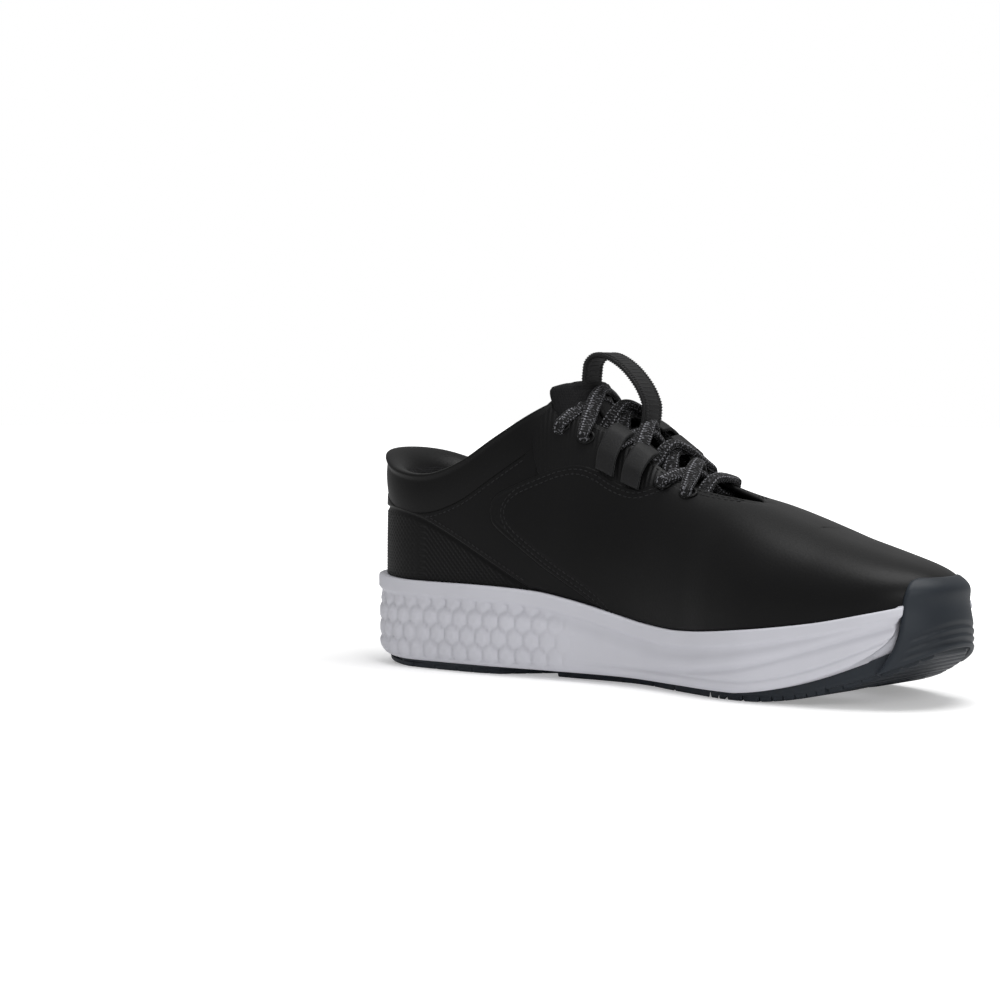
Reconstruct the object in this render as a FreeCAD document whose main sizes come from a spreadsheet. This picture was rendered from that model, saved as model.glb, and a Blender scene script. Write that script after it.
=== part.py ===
"""Left golf shoe: rubber outsole, foam midsole, lasted leather upper, tongue, lace and linings.

The toe points along +X, the outer side of the foot is +Y, up is +Z, and the shoe stands on Z = 0.
All sizes are millimetres. Outlines are half breadths at stations along X, closed at the toe and
the heel by superellipses. The upper is a family of nested closed forms, one for each layer, and
every layer piece is a slice between two of them, trimmed in side view or plan.
"""
import FreeCAD, Part
import math
import os

import Sketcher

Vector = FreeCAD.Vector
os.makedirs("parts", exist_ok=True)
doc = FreeCAD.newDocument("golf_shoe")

# ---------------------------------------------------------------- driving dimensions
SIZES = [
    ("length", 300.0), ("toe_spring", 23.0), ("spring_start", 70.0), ("heel_bevel", 4.0),
    ("rubber", 3.6), ("rubber_toe", 9.0), ("bumper_top", 52.0), ("bumper_wall", 3.4),
    ("flange_inset", 4.0), ("skin", 1.6), ("stiffener", 1.0), ("lining", 1.0),
    ("collar_foam", 5.0), ("collar_band", 20.0), ("board", 2.0), ("sockliner", 5.0), ("clearance", 0.2),
    ("flex_station", 71.0), ("flex_height", 27.0), ("flex_angle", 25.0), ("flex_slot", 0.4),
    ("tongue_thick", 6.0), ("loop_width", 12.0), ("loop_thick", 1.8),
    ("lace_diameter", 4.0), ("aglet_length", 18.0), ("aglet_diameter", 3.4),
    ("blank_height", 80.0), ("blank_floor", -10.0),
]
sheet = doc.addObject("Spreadsheet::Sheet", "dims")
for row, (alias, value) in enumerate(SIZES, start=1):
    sheet.set("A%d" % row, alias)
    sheet.set("B%d" % row, str(value))
    sheet.setAlias("B%d" % row, alias)
doc.recompute()


def dim(alias):
    """A driving dimension, read from the sheet."""
    return float(sheet.get(alias))


HALF = dim("length") / 2.0
HEEL_CENTRE, TOE_CENTRE = -105.0, 85.0
HEEL_POWER, TOE_POWER, CROWN_POWER = 2.4, 2.2, 2.4

# half breadths of the sole edge from the sole's own axis: station, inner side, outer side
BREADTHS = [
    (-150, 39.0, 40.0), (-110, 39.0, 42.0), (-72, 38.5, 41.5), (-35, 34.9, 39.6), (3, 32.4, 44.1),
    (38, 38.0, 55.5), (56, 42.3, 59.2), (74, 43.8, 58.2), (100, 40.5, 49.5), (150, 39.5, 40.5),
]
# height of the line where the upper meets the midsole, and of the crown of the closed form
FEATHER = [
    (-150, 41.5), (-118, 39.5), (-70, 39.0), (-42, 37.5), (-23, 34.5), (-3, 30.5), (14, 27.5),
    (36, 26.0), (64, 28.0), (104, 33.0), (128, 38.0), (150, 43.5),
]
CROWN = [
    (-150, 150), (-80, 150), (-60, 138), (-41, 122), (-29, 116), (-12, 108), (0, 100), (13, 91),
    (25, 85), (40, 80), (57, 76), (80, 69.5), (100, 64), (122, 60), (150, 58),
]
# top edge of the collar and half width of the lacing gap
TOPLINE = [(-150, 99), (-142, 96), (-125, 89), (-105, 87), (-85, 93), (-67, 104), (-55, 112), (-42, 121)]
THROAT = [(-48, 15), (-20, 13), (0, 11.5), (25, 10), (38, 8.5), (48, 5.5)]
THROAT_END = 54.0


def smooth(stations, x, column=1):
    """Cubic curve through the stations, read at x; flat beyond the ends."""
    if x <= stations[0][0]:
        return float(stations[0][column])
    if x >= stations[-1][0]:
        return float(stations[-1][column])
    last = len(stations) - 1
    slope = []
    for k in range(last + 1):
        a, b = stations[max(k - 1, 0)], stations[min(k + 1, last)]
        slope.append((b[column] - a[column]) / float(b[0] - a[0]))
    k = max(i for i in range(last) if stations[i][0] <= x)
    (x0, x1) = stations[k][0], stations[k + 1][0]
    span = float(x1 - x0)
    u = (x - x0) / span
    y0, y1 = stations[k][column], stations[k + 1][column]
    rise = (2 * u ** 3 - 3 * u ** 2 + 1) * y0 + (3 * u ** 2 - 2 * u ** 3) * y1
    return rise + span * ((u ** 3 - 2 * u ** 2 + u) * slope[k] + (u ** 3 - u ** 2) * slope[k + 1])


def axis_y(x):
    """Middle line of the sole: straight at the heel, swung 4 mm inwards at the toe."""
    u = min(max((x + 50.0) / 150.0, 0.0), 1.0)
    return -4.0 * u * u * (3 - 2 * u)


def closure(x, inset, toe_power=TOE_POWER, heel_power=HEEL_POWER):
    """Factor that closes the outline at the toe and the heel."""
    if x > TOE_CENTRE:
        u, power = (x - TOE_CENTRE) / (HALF - inset - TOE_CENTRE), toe_power
    elif x < HEEL_CENTRE:
        u, power = (HEEL_CENTRE - x) / (HALF - inset + HEEL_CENTRE), heel_power
    else:
        return 1.0
    return max(1.0 - min(u, 1.0) ** power, 0.0) ** (1.0 / power)


def edge_y(x, side, inset):
    """Edge of the sole outline at station x, moved in by inset; side is -1 inner, +1 outer."""
    breadth = smooth(BREADTHS, x, 1 if side < 0 else 2) - inset
    return axis_y(x) + side * breadth * closure(x, inset)


BEVEL_START = -115.0


def ground_z(x):
    """Underside of the sole: flat, with toe spring and a bevelled heel."""
    if x > dim("spring_start"):
        return dim("toe_spring") * ((x - dim("spring_start")) / 80.0) ** 2
    if x < BEVEL_START:
        return dim("heel_bevel") * ((BEVEL_START - x) / 35.0) ** 2
    return 0.0


def seam_z(x):
    """Joint between rubber and foam: the rubber thickens towards the toe."""
    u = min(max((x - 70.0) / 70.0, 0.0), 1.0)
    return ground_z(x) + dim("rubber") + (dim("rubber_toe") - dim("rubber")) * u


def feather_z(x):
    return smooth(FEATHER, x)


def crown_z(x, inset):
    """Crown height of the closed form at station x; the toe drops steeply to its tip."""
    end = closure(x, inset + dim("flange_inset"), 3.0, 5.0)
    return feather_z(x) + (smooth(CROWN, x) - inset - feather_z(x)) * end


# ---------------------------------------------------------------- curves and solids
def outline_points(inset):
    """Closed plan outline: superellipse ends and stations along both sides."""
    inner, outer = [], []
    for k in range(7):
        a = math.radians(90.0 * k / 6.0)
        inner.append(HEEL_CENTRE - (HALF - inset + HEEL_CENTRE) * math.cos(a) ** (2 / HEEL_POWER))
    inner += [-85.0, -62.0, -40.0, -18.0, 3.0, 22.0, 40.0, 56.0, 72.0]
    for k in range(8):
        a = math.radians(90.0 * k / 7.0)
        inner.append(TOE_CENTRE + (HALF - inset - TOE_CENTRE) * math.sin(a) ** (2 / TOE_POWER))
    outer = inner[1:-1][::-1]
    points = [Vector(x, edge_y(x, -1, inset), 0) for x in inner]
    return points + [Vector(x, edge_y(x, 1, inset), 0) for x in outer]


def closed_spline(points):
    curve = Part.BSplineCurve()
    curve.interpolate(Points=points, PeriodicFlag=True)
    return curve


def open_spline(points):
    curve = Part.BSplineCurve()
    curve.interpolate(points)
    return curve


def line(a, b):
    return Part.LineSegment(a, b)


def profile(height, low, high):
    """Side curve z = height(x), from one station to another."""
    count = int((high - low) / 12.0) + 1
    xs = [low + (high - low) * k / count for k in range(count + 1)]
    return [Vector(x, 0, height(x)) for x in xs]


def band(bottom, top, low=-160.0, high=160.0, wide=160.0):
    """Slab between two side curves, right across the shoe."""
    lower, upper = profile(bottom, low, high), profile(top, low, high)
    edges = [
        open_spline(lower).toShape(), line(lower[-1], upper[-1]).toShape(),
        open_spline(upper[::-1]).toShape(), line(upper[0], lower[0]).toShape(),
    ]
    face = Part.Face(Part.Wire(edges))
    face.translate(Vector(0, -wide / 2, 0))
    return face.extrude(Vector(0, wide, 0))


def side_prism(points, y0, y1):
    """Prism across the shoe from a closed polygon in side view, given as (x, z)."""
    wire = Part.makePolygon([Vector(x, y0, z) for x, z in points + points[:1]])
    return Part.Face(wire).extrude(Vector(0, y1 - y0, 0))


def plan_prism(curves, z0, z1):
    """Prism upwards from a closed plan outline made of curves."""
    face = Part.Face(Part.Wire([c.toShape() for c in curves]))
    face.translate(Vector(0, 0, z0))
    return face.extrude(Vector(0, 0, z1 - z0))


def section(x, inset, drop):
    """Closed D section of the upper's form at station x."""
    half = [edge_y(x, side, inset + dim("flange_inset")) for side in (-1, 1)]
    middle = axis_y(x)
    base, top = feather_z(x) + dim("clearance") - drop, crown_z(x, inset)
    points = [Vector(x, half[0], base)] if drop else []
    start = feather_z(x) + dim("clearance")
    for k in range(13):
        a = math.pi * k / 12.0
        side = half[0] if a < math.pi / 2 else half[1]
        reach = abs(math.cos(a)) ** (2 / CROWN_POWER)
        rise = math.sin(a) ** (2 / CROWN_POWER) if 0 < k < 12 else 0.0
        points.append(Vector(x, middle + (side - middle) * reach, start + (top - start) * rise))
    if drop:
        points.append(Vector(x, half[1], base))
        edges = [line(points[0], points[1]).toShape(), open_spline(points[1:-1]).toShape(),
                 line(points[-2], points[-1]).toShape(), line(points[-1], points[0]).toShape()]
    else:
        edges = [open_spline(points).toShape(), line(points[-1], points[0]).toShape()]
    return Part.Wire(edges)


def form_stations(inset):
    """Stations of the form, closer together towards the rounded ends."""
    tip = HALF - dim("flange_inset") - inset
    heel = [HEEL_CENTRE - (tip + HEEL_CENTRE) * math.cos(math.radians(a)) for a in (6, 22, 38, 54, 72, 90)]
    middle = [-90.0, -74.0, -58.0, -42.0, -26.0, -8.0, 10.0, 28.0, 46.0, 66.0]
    toe = [TOE_CENTRE + (tip - TOE_CENTRE) * math.sin(math.radians(a)) for a in (0, 18, 34, 50, 64, 76, 84)]
    return heel + middle + toe


def form(inset, drop=0.0):
    """Closed form of the upper, moved in by inset; drop carries its floor lower, for cutting."""
    wires = [section(x, inset, drop) for x in form_stations(inset)]
    return Part.makeLoft(wires, True, False)


def solid_of(shape):
    """The shape's largest solid; slivers left by trimming are dropped."""
    return max(shape.Solids, key=lambda piece: piece.Volume)


nodes = {}


def keep(name, shape):
    """A named sub-part whose shape has been worked out by functions."""
    feature = doc.addObject("Part::Feature", name)
    feature.Label = name
    feature.Shape = shape
    feature.Placement = FreeCAD.Placement()
    nodes[name] = feature
    return feature


# ---------------------------------------------------------------- sole pieces, as bodies
def origin_plane(body, role):
    return [f for f in body.Origin.OriginFeatures if f.Role == role][0]


def add_sketch(body, name, role, curves):
    sketch = body.newObject("Sketcher::SketchObject", name)
    sketch.AttachmentSupport = (origin_plane(body, role), [""])
    sketch.MapMode = "FlatFace"
    for curve in curves:
        sketch.addGeometry(curve, False)
    return sketch


def flat(points):
    """Side-view points as points of a sketch on the XZ plane."""
    return [Vector(p.x, p.z, 0) for p in points]


def side_curves(height):
    """Side curve z = height(x) along the whole sole; the ground line has a true flat in its middle."""
    if height is not ground_z:
        return [open_spline(flat(profile(height, -156.0, 156.0)))]
    heel = flat(profile(height, -156.0, BEVEL_START))
    toe = flat(profile(height, dim("spring_start"), 156.0))
    return [open_spline(heel), line(heel[-1], toe[0]), open_spline(toe)]


def trim(body, name, height, limit):
    """Cut away everything between a side curve and a limit height."""
    curves = side_curves(height)
    first, last = curves[0].StartPoint, curves[-1].EndPoint
    far = [Vector(last.x, limit, 0), Vector(first.x, limit, 0)]
    curves += [line(last, far[0]), line(far[0], far[1]), line(far[1], first)]
    outline = add_sketch(body, name + "_line", "XZ_Plane", curves)
    pocket = body.newObject("PartDesign::Pocket", name)
    pocket.Profile = outline
    pocket.Type = "ThroughAll"
    pocket.Midplane = True
    return pocket


def sole_body(name, curves, bottom, top):
    """A sole piece: its plan outline raised as a blank, then trimmed above and below in side view."""
    body = doc.addObject("PartDesign::Body", name)
    body.Label = name
    pad = body.newObject("PartDesign::Pad", name + "_blank")
    pad.Profile = add_sketch(body, name + "_plan", "XY_Plane", curves)
    pad.Profile[0].AttachmentOffset = FreeCAD.Placement(Vector(0, 0, dim("blank_floor")), FreeCAD.Rotation())
    pad.setExpression("Length", "dims.blank_height")
    doc.recompute()
    blank = pad.Shape.Volume
    upper = trim(body, name + "_over", top, 90.0)
    lower = trim(body, name + "_under", bottom, -30.0)
    doc.recompute()
    body.Tip = lower
    doc.recompute()
    if not body.Shape.Volume < upper.Shape.Volume <= blank:
        raise RuntimeError(name + " was not trimmed")
    return body


# plan outlines of the rubber and of the white plates, as hand-placed points
LEAF_INNER = [(109, -2), (97, -6), (78, -9), (53, -8), (29, -4), (11, 9)]
LEAF_OUTER = [(11, 9), (27, 20), (44, 24), (63, 24), (87, 19), (109, -2)]
WINDOW = [(-20, 18), (-57, 18), (-80, 17), (-100, 13), (-112, 3), (-104, -8), (-86, -9), (-60, -5), (-41, -3)]
HEEL_INNER_LEG = [(-41, -3), (-51, -17), (-66, -31)]
HEEL_OUTER_LEG = [(-24, 33), (-15, 34), (-12, 30), (-20, 18)]
FOREFOOT_TAIL = [(10, 38), (-2, 27), (-15, 15), (-31, -5), (-42, -20), (-37, -23), (-24, -20)]


def xy(points):
    return [Vector(x, y, 0) for x, y in points]


RUBBER_INSET, TOE_RUBBER_INSET = 5.0, 1.5


def rubber_inset(x):
    """The rubber stands 5 mm inside the sole edge and reaches nearly to it at the toe."""
    u = min(max((x - 90.0) / 35.0, 0.0), 1.0)
    return RUBBER_INSET + (TOE_RUBBER_INSET - RUBBER_INSET) * u * u * (3 - 2 * u)


def heel_rubber_curves():
    """Horseshoe round the heel window."""
    tip = HALF - RUBBER_INSET + HEEL_CENTRE
    around = []
    for k in range(1, 12):
        a = math.radians(180.0 * k / 12.0)
        x = HEEL_CENTRE - tip * abs(math.sin(a)) ** (2 / HEEL_POWER)
        around.append(Vector(x, edge_y(x, -1 if a < math.pi / 2 else 1, RUBBER_INSET), 0))
    inner = [Vector(-76, edge_y(-76, -1, RUBBER_INSET), 0), Vector(-92, edge_y(-92, -1, RUBBER_INSET), 0)]
    outer = [Vector(x, edge_y(x, 1, RUBBER_INSET), 0) for x in (-92, -72, -50, -34)]
    leg_in, leg_out = xy(HEEL_INNER_LEG), xy(HEEL_OUTER_LEG)
    rim = [leg_in[-1]] + inner + around + outer + [leg_out[0]]
    return [open_spline(leg_in), open_spline(rim), open_spline(leg_out), open_spline(xy(WINDOW))]


def forefoot_rubber_curves():
    """Forefoot rubber with its arch tip, up to the toe."""
    tip_x = HALF - TOE_RUBBER_INSET
    xs = [TOE_CENTRE + (tip_x - TOE_CENTRE) * math.sin(math.radians(a)) ** (2 / TOE_POWER)
          for a in (12, 30, 46, 60, 72, 82)]
    inner = [Vector(-24, -20, 0), Vector(2, -21, 0), Vector(22, -29, 0)]
    inner += [Vector(x, edge_y(x, -1, rubber_inset(x)), 0) for x in [38.0, 54.0, 72.0] + xs]
    outer = [Vector(x, edge_y(x, 1, rubber_inset(x)), 0) for x in xs[::-1] + [72.0, 54.0, 38.0, 24.0]]
    tip = Vector(tip_x, axis_y(HALF), 0)
    return [open_spline(xy(FOREFOOT_TAIL)), open_spline(inner + [tip] + outer + [Vector(10, 38, 0)])]


def leaf_curves(grow):
    """Leaf outline of the forefoot plate, grown outwards by a clearance."""
    inner = [Vector(x, y - grow, 0) for x, y in LEAF_INNER]
    outer = [Vector(x, y + grow, 0) for x, y in LEAF_OUTER]
    for corner in (0, -1):
        inner[corner] = Vector(LEAF_INNER[corner][0], LEAF_INNER[corner][1], 0)
    inner[0].x += grow * 2
    inner[-1].x -= grow * 2
    outer[0], outer[-1] = inner[-1], inner[0]
    return [open_spline(inner), open_spline(outer)]


def deep(x):
    return seam_z(x) - dim("clearance")


midsole = sole_body("midsole_whole", [closed_spline(outline_points(0.0))], seam_z, feather_z)
heel_rubber = sole_body("outsole_heel", heel_rubber_curves(), ground_z, deep)
forefoot_rubber = sole_body("outsole_whole", forefoot_rubber_curves(), ground_z, deep)
leaf = sole_body("insert_whole", leaf_curves(0.0), lambda x: ground_z(x) + 1.2, deep)
nodes["outsole_heel"] = heel_rubber

# ---------------------------------------------------------------- flex line
FLEX_X, FLEX_Z = dim("flex_station"), dim("flex_height")
LEAN = math.tan(math.radians(dim("flex_angle") / 2.0 + 1.0))
SLOT = dim("flex_slot") / 2.0
TOP, LOW, FAR = 160.0, -20.0, 175.0
SPREAD = SLOT + (TOP - FLEX_Z) * LEAN


def flex_parts(shape):
    """Split a piece at the ball of the foot: what stays behind, the crease wedge and the front."""
    behind = [(-FAR, LOW), (FLEX_X - SLOT, LOW), (FLEX_X - SLOT, FLEX_Z), (FLEX_X - SPREAD, TOP), (-FAR, TOP)]
    ahead = [(FAR, LOW), (FLEX_X + SLOT, LOW), (FLEX_X + SLOT, FLEX_Z), (FLEX_X + SPREAD, TOP), (FAR, TOP)]
    gap = SLOT * 3
    crease = [(FLEX_X, FLEX_Z + 12), (FLEX_X + SPREAD - gap, TOP), (FLEX_X - SPREAD + gap, TOP)]
    return [shape.common(side_prism(outline, -90.0, 90.0)) for outline in (behind, crease, ahead)]


def keep_split(name, shape, with_crease=False):
    rear, crease, front = flex_parts(shape)
    keep(name + "_rear", solid_of(rear))
    keep(name + "_front", solid_of(front))
    if with_crease:
        keep(name + "_crease", solid_of(crease))


# ---------------------------------------------------------------- toe bumper, midsole, rubber, insert
# the bumper starts a little above the tread; its rear edge in side view, as (x, z)
BUMPER_LIFT = 0.8
BUMPER_EDGE = [(141, 52), (140, 44), (138, 36), (136, 29), (132, 24), (128, 19), (128, -5)]


def bumper_blank(outset):
    """Crescent of rubber that wraps the toe, from the ground up to its top edge."""
    ring = plan_prism([closed_spline(outline_points(-outset))], -5.0, 100.0)
    rear = [(x - outset, z) for x, z in BUMPER_EDGE]
    rear[0] = (rear[0][0], dim("bumper_top") + outset)
    front = side_prism(rear + [(FAR, -5), (FAR, dim("bumper_top") + outset)], -60.0, 60.0)
    return ring.common(front).common(band(lambda x: ground_z(x) + BUMPER_LIFT, lambda x: 90.0))


def toe_bumper():
    core = plan_prism([closed_spline(outline_points(dim("bumper_wall")))], -10.0, 110.0)
    return solid_of(bumper_blank(0.0).cut(core))


bumper = toe_bumper()
rubber_shape = forefoot_rubber.Shape.cut(plan_prism(leaf_curves(dim("clearance")), -10.0, 60.0))
rubber_shape = solid_of(rubber_shape.fuse(bumper).removeSplitter())
midsole_shape = midsole.Shape.cut(bumper_blank(dim("clearance")).cut(
    plan_prism([closed_spline(outline_points(dim("bumper_wall") + dim("clearance")))], -10.0, 110.0)))
keep_split("midsole", solid_of(midsole_shape))
keep_split("outsole_forefoot", rubber_shape)
keep_split("forefoot_insert", leaf.Shape)

# ---------------------------------------------------------------- nested forms of the upper
SKIN = dim("skin")
CORE = SKIN + dim("stiffener")
INSIDE = CORE + dim("lining")
COLLAR_IN = SKIN + dim("collar_foam")
COLLAR_FACE = COLLAR_IN + dim("lining")
GAP = dim("clearance")
outer_form = form(0.0)
DROP = 4.0


def layer(outside, inside):
    """Closed layer of the upper between two insets, open underneath."""
    return form(outside).cut(form(inside, DROP))


def topline_z(x):
    return smooth(TOPLINE, x)


def over_topline(lift):
    """Everything above the collar edge, behind the lacing gap."""
    return band(lambda x: topline_z(x) + lift, lambda x: 170.0, -160.0, -42.0)


def throat_cut(grow):
    """Lacing gap, seen from above: two curved edges that meet ahead of the last row."""
    inner = [Vector(x, axis_y(x) - half - grow, 0) for x, half in THROAT]
    outer = [Vector(x, axis_y(x) + half + grow, 0) for x, half in THROAT]
    tip = Vector(THROAT_END + grow, axis_y(THROAT_END), 0)
    edges = [open_spline(inner + [tip] + outer[::-1])]
    back = [outer[0] + Vector(-30, 0, 0), inner[0] + Vector(-30, 0, 0)]
    edges += [line(outer[0], back[0]), line(back[0], back[1]), line(back[1], inner[0])]
    return plan_prism(edges, 60.0, 170.0)


def front_top():
    """Rear top corners of the lacing facings are cut level with the collar."""
    return side_prism([(-60, 121), (-42, 121), (-25, 119), (-20, 170), (-60, 170)], -60.0, 60.0)


opening = over_topline(0.0).fuse(throat_cut(0.0)).fuse(front_top())
skin_layer = layer(0.0, SKIN - GAP / 2).cut(opening)
core_layer = layer(SKIN, CORE - GAP / 2)
lining_layer = layer(CORE, INSIDE).cut(opening)

# side-view outlines of the panels, as (x, z)
VAMP_EDGE = [(-11, 20), (-11, 32), (-66, 64), (-68, 72), (-60, 80), (-47, 86), (-26, 92), (-9, 86), (3, 82), (16, 88)]
HEEL_EDGE = [(-47, 20), (-47, 38), (-102, 66), (-125, 70), (-170, 72)]
FACING_REAR = [(-44, 88), (-50, 104), (-47, 125)]


def vamp_region():
    return side_prism(VAMP_EDGE + [(16, 160), (FAR, 160), (FAR, 20)], -90.0, 90.0)


def heel_region():
    return side_prism(HEEL_EDGE + [(-170, 20)], -90.0, 90.0)


def facing_region(side):
    rear = FACING_REAR + [(-47, 160), (16, 160), (16, 88)]
    outline = rear + [(3, 82), (-9, 86), (-26, 92)]
    return side_prism(outline, -90.0 if side < 0 else 0.0, 0.0 if side < 0 else 90.0)


def half_space(side):
    return Part.makeBox(400.0, 90.0, 200.0, Vector(-200.0, -90.0 if side < 0 else 0.0, -10.0))


vamp = solid_of(skin_layer.common(vamp_region()))
heel_panel = solid_of(skin_layer.common(heel_region()))
rest = skin_layer.cut(vamp_region()).cut(heel_region())
facings = {}
quarters = {}
for side, name in ((-1, "medial"), (1, "lateral")):
    facings[side] = solid_of(rest.common(facing_region(side)))
    quarters[side] = solid_of(rest.cut(facing_region(side)).common(half_space(side)))
keep_split("vamp", vamp, with_crease=True)
keep("heel_panel", heel_panel)
for side, name in ((-1, "medial"), (1, "lateral")):
    keep("quarter_" + name, quarters[side])

# ---------------------------------------------------------------- stiffeners, linings, collar padding
COLLAR_LOW, COLLAR_HIGH = -dim("collar_band"), -1.0
COLLAR_FRONT = -44.0
LINING_JOIN = 16.0


def collar_band(low, high):
    return band(lambda x: topline_z(x) + low, lambda x: topline_z(x) + high, -160.0, COLLAR_FRONT)


def lining_pieces():
    """Quarter and vamp linings, below the padded collar."""
    collar_zone = band(lambda x: topline_z(x) + COLLAR_LOW - GAP, lambda x: 170.0, -160.0, COLLAR_FRONT + GAP)
    below = lining_layer.cut(collar_zone)
    behind = Part.makeBox(200.0, 200.0, 200.0, Vector(LINING_JOIN - GAP - 200.0, -100.0, 0.0))
    ahead = Part.makeBox(200.0, 200.0, 200.0, Vector(LINING_JOIN, -100.0, 0.0))
    return solid_of(below.common(behind)), solid_of(below.common(ahead))


quarter_lining, vamp_lining = lining_pieces()
keep_split("vamp_lining", vamp_lining, with_crease=True)
keep("toe_puff", solid_of(core_layer.common(Part.makeBox(60.0, 200.0, 100.0, Vector(108.0, -100.0, 0.0)))))
counter_zone = band(lambda x: 30.0, lambda x: topline_z(x) + COLLAR_LOW - GAP, -160.0, -82.0)
counter = layer(SKIN + 2 * GAP, CORE - GAP).common(counter_zone)
keep("heel_counter", solid_of(counter))
foam_layer = layer(SKIN + GAP, COLLAR_IN - 2 * GAP)
collar_foam = solid_of(foam_layer.common(collar_band(COLLAR_LOW, COLLAR_HIGH)))
collar_lining = solid_of(layer(COLLAR_IN, COLLAR_FACE).common(collar_band(COLLAR_LOW, 0.0)))
keep("collar_foam", collar_foam)
keep("collar_lining", collar_lining)

# ---------------------------------------------------------------- board and sockliner
inner_form = form(INSIDE + GAP)


def floor_slab(low, high):
    return inner_form.common(band(lambda x: feather_z(x) + low, lambda x: feather_z(x) + high))


keep_split("strobel_board", solid_of(floor_slab(2 * GAP, dim("board"))))
keep_split("sockliner", solid_of(floor_slab(dim("board") + GAP, dim("board") + dim("sockliner"))))

# ---------------------------------------------------------------- tongue
# crest of the tongue, from its root under the vamp to its free top: x, z, arch depth, half width
TONGUE = [
    (50, 69.5, 36, 12), (38, 73.5, 42, 14), (25, 78.0, 46, 15.5), (13, 84.0, 46, 16.5), (0, 92.5, 44, 16.5),
    (-12, 100.5, 42, 16.5), (-24, 108.5, 38, 16), (-32, 118.0, 32, 16), (-37, 129.0, 28, 18),
]
ARCH_HALF = 26.0


def tongue_frame(k):
    """Crest point of a tongue station and the outward normal of the crest line there."""
    a, b = TONGUE[max(k - 1, 0)], TONGUE[min(k + 1, len(TONGUE) - 1)]
    along = Vector(b[0] - a[0], 0, b[1] - a[1]).normalize()
    return Vector(TONGUE[k][0], axis_y(TONGUE[k][0]), TONGUE[k][1]), Vector(along.z, 0, -along.x)


def tongue_layer(above, below, share=1.0, low=0, high=len(TONGUE)):
    """Arched layer of the tongue between two depths under its crest."""
    wires = []
    for k in range(low, high):
        crest, normal = tongue_frame(k)
        depth, half = TONGUE[k][2], TONGUE[k][3] * share
        rows = []
        for offset in (above, below):
            row = []
            for step in range(-4, 5):
                y = half * step / 4.0
                fall = depth * (1.0 - (1.0 - abs(y / ARCH_HALF) ** CROWN_POWER) ** (1 / CROWN_POWER))
                row.append(crest + Vector(0, y, 0) - normal * (fall + offset))
            rows.append(row)
        top, bottom = rows
        edges = [open_spline(top).toShape(), line(top[-1], bottom[-1]).toShape(),
                 open_spline(bottom[::-1]).toShape(), line(bottom[0], top[0]).toShape()]
        wires.append(Part.Wire(edges))
    return Part.makeLoft(wires, True, False)


def tongue_room():
    """Everything of the upper that the tongue stays clear of, with a little air round it."""
    walls = form(0.0).cut(form(INSIDE + TONGUE_AIR, DROP)).cut(over_topline(0.0)).cut(front_top())
    walls = walls.cut(throat_cut(-TONGUE_AIR))
    padding = form(0.0).cut(form(COLLAR_FACE + TONGUE_AIR, DROP))
    return walls, padding.common(collar_band(COLLAR_LOW - 1.0, 1.0))


TONGUE_AIR = 0.8
tongue_depth = dim("tongue_thick")
keep_out, keep_out_collar = tongue_room()


def tongue_piece(above, below):
    return solid_of(tongue_layer(above, below).cut(keep_out).cut(keep_out_collar))


keep("tongue", tongue_piece(0.0, tongue_depth))
keep("tongue_lining", tongue_piece(tongue_depth + GAP, tongue_depth + GAP + dim("lining")))
keep("tongue_webbing", tongue_layer(-1.3, -GAP, 0.34, 2, len(TONGUE) - 2))

# ---------------------------------------------------------------- pull loop, a strap that stands on the tongue
LOOP_LINE = [
    (-38, 131.8), (-37, 136), (-33, 138.8), (-26, 138.4), (-17, 133.5), (-9.5, 126), (-5.5, 119), (-5, 115),
]


def loop_body():
    """Strap bent into a loop, drawn in side view and padded to its width."""
    body = doc.addObject("PartDesign::Body", "pull_loop")
    body.Label = "pull_loop"
    path = open_spline([Vector(x, z, 0) for x, z in LOOP_LINE])
    half = dim("loop_thick") / 2.0
    outer, inner = [], []
    for k in range(13):
        u = path.FirstParameter + (path.LastParameter - path.FirstParameter) * k / 12.0
        point, tangent = path.value(u), path.tangent(u)[0]
        side = Vector(tangent.y, -tangent.x, 0) * half
        outer.append(point - side)
        inner.append(point + side)
    curves = [open_spline(outer), line(outer[-1], inner[-1]), open_spline(inner[::-1]), line(inner[0], outer[0])]
    pad = body.newObject("PartDesign::Pad", "loop_strap")
    pad.Profile = add_sketch(body, "loop_side", "XZ_Plane", curves)
    pad.Midplane = True
    pad.setExpression("Length", "dims.loop_width")
    doc.recompute()
    body.Tip = pad
    return body


nodes["pull_loop"] = loop_body()

# ---------------------------------------------------------------- lace
ROWS = [27.0, 14.0, 1.0, -12.0, -26.0, -39.0]
HOLE_SETBACK = 5.0
TURN_HALF = 3.0
LACE_R = dim("lace_diameter") / 2.0


def skin_z(x, y, inset=0.0):
    """Height of the upper's outer surface over a plan point."""
    side = -1 if y < axis_y(x) else 1
    reach = (y - axis_y(x)) / (edge_y(x, side, inset + dim("flange_inset")) - axis_y(x))
    start = feather_z(x) + GAP
    arch = max(1.0 - abs(reach) ** CROWN_POWER, 0.0) ** (1 / CROWN_POWER)
    return start + (crown_z(x, inset) - start) * arch


def hole_y(x, side):
    return axis_y(x) + side * (smooth(THROAT, x) + HOLE_SETBACK)


def turn_points(row, side):
    """Two route points round a hole, clear of the surface."""
    found = []
    for x in (ROWS[row] - TURN_HALF, ROWS[row] + TURN_HALF):
        y = hole_y(x, side)
        found.append(Vector(x, y + side * 2.0, skin_z(x, y) + LACE_R + 1.0))
    return found


def end_points(side):
    """The lace's end, from deep inside the shoe up to its top hole."""
    x = ROWS[-1]
    y = hole_y(x, side)
    top = skin_z(x, y)
    return [Vector(x - 4, y + side * 1.5, 74), Vector(x - 3, y + side * 1.5, 88),
            Vector(x - 1, y + side * 1.0, 101), Vector(x, y, top + LACE_R + 1.2)]


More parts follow.
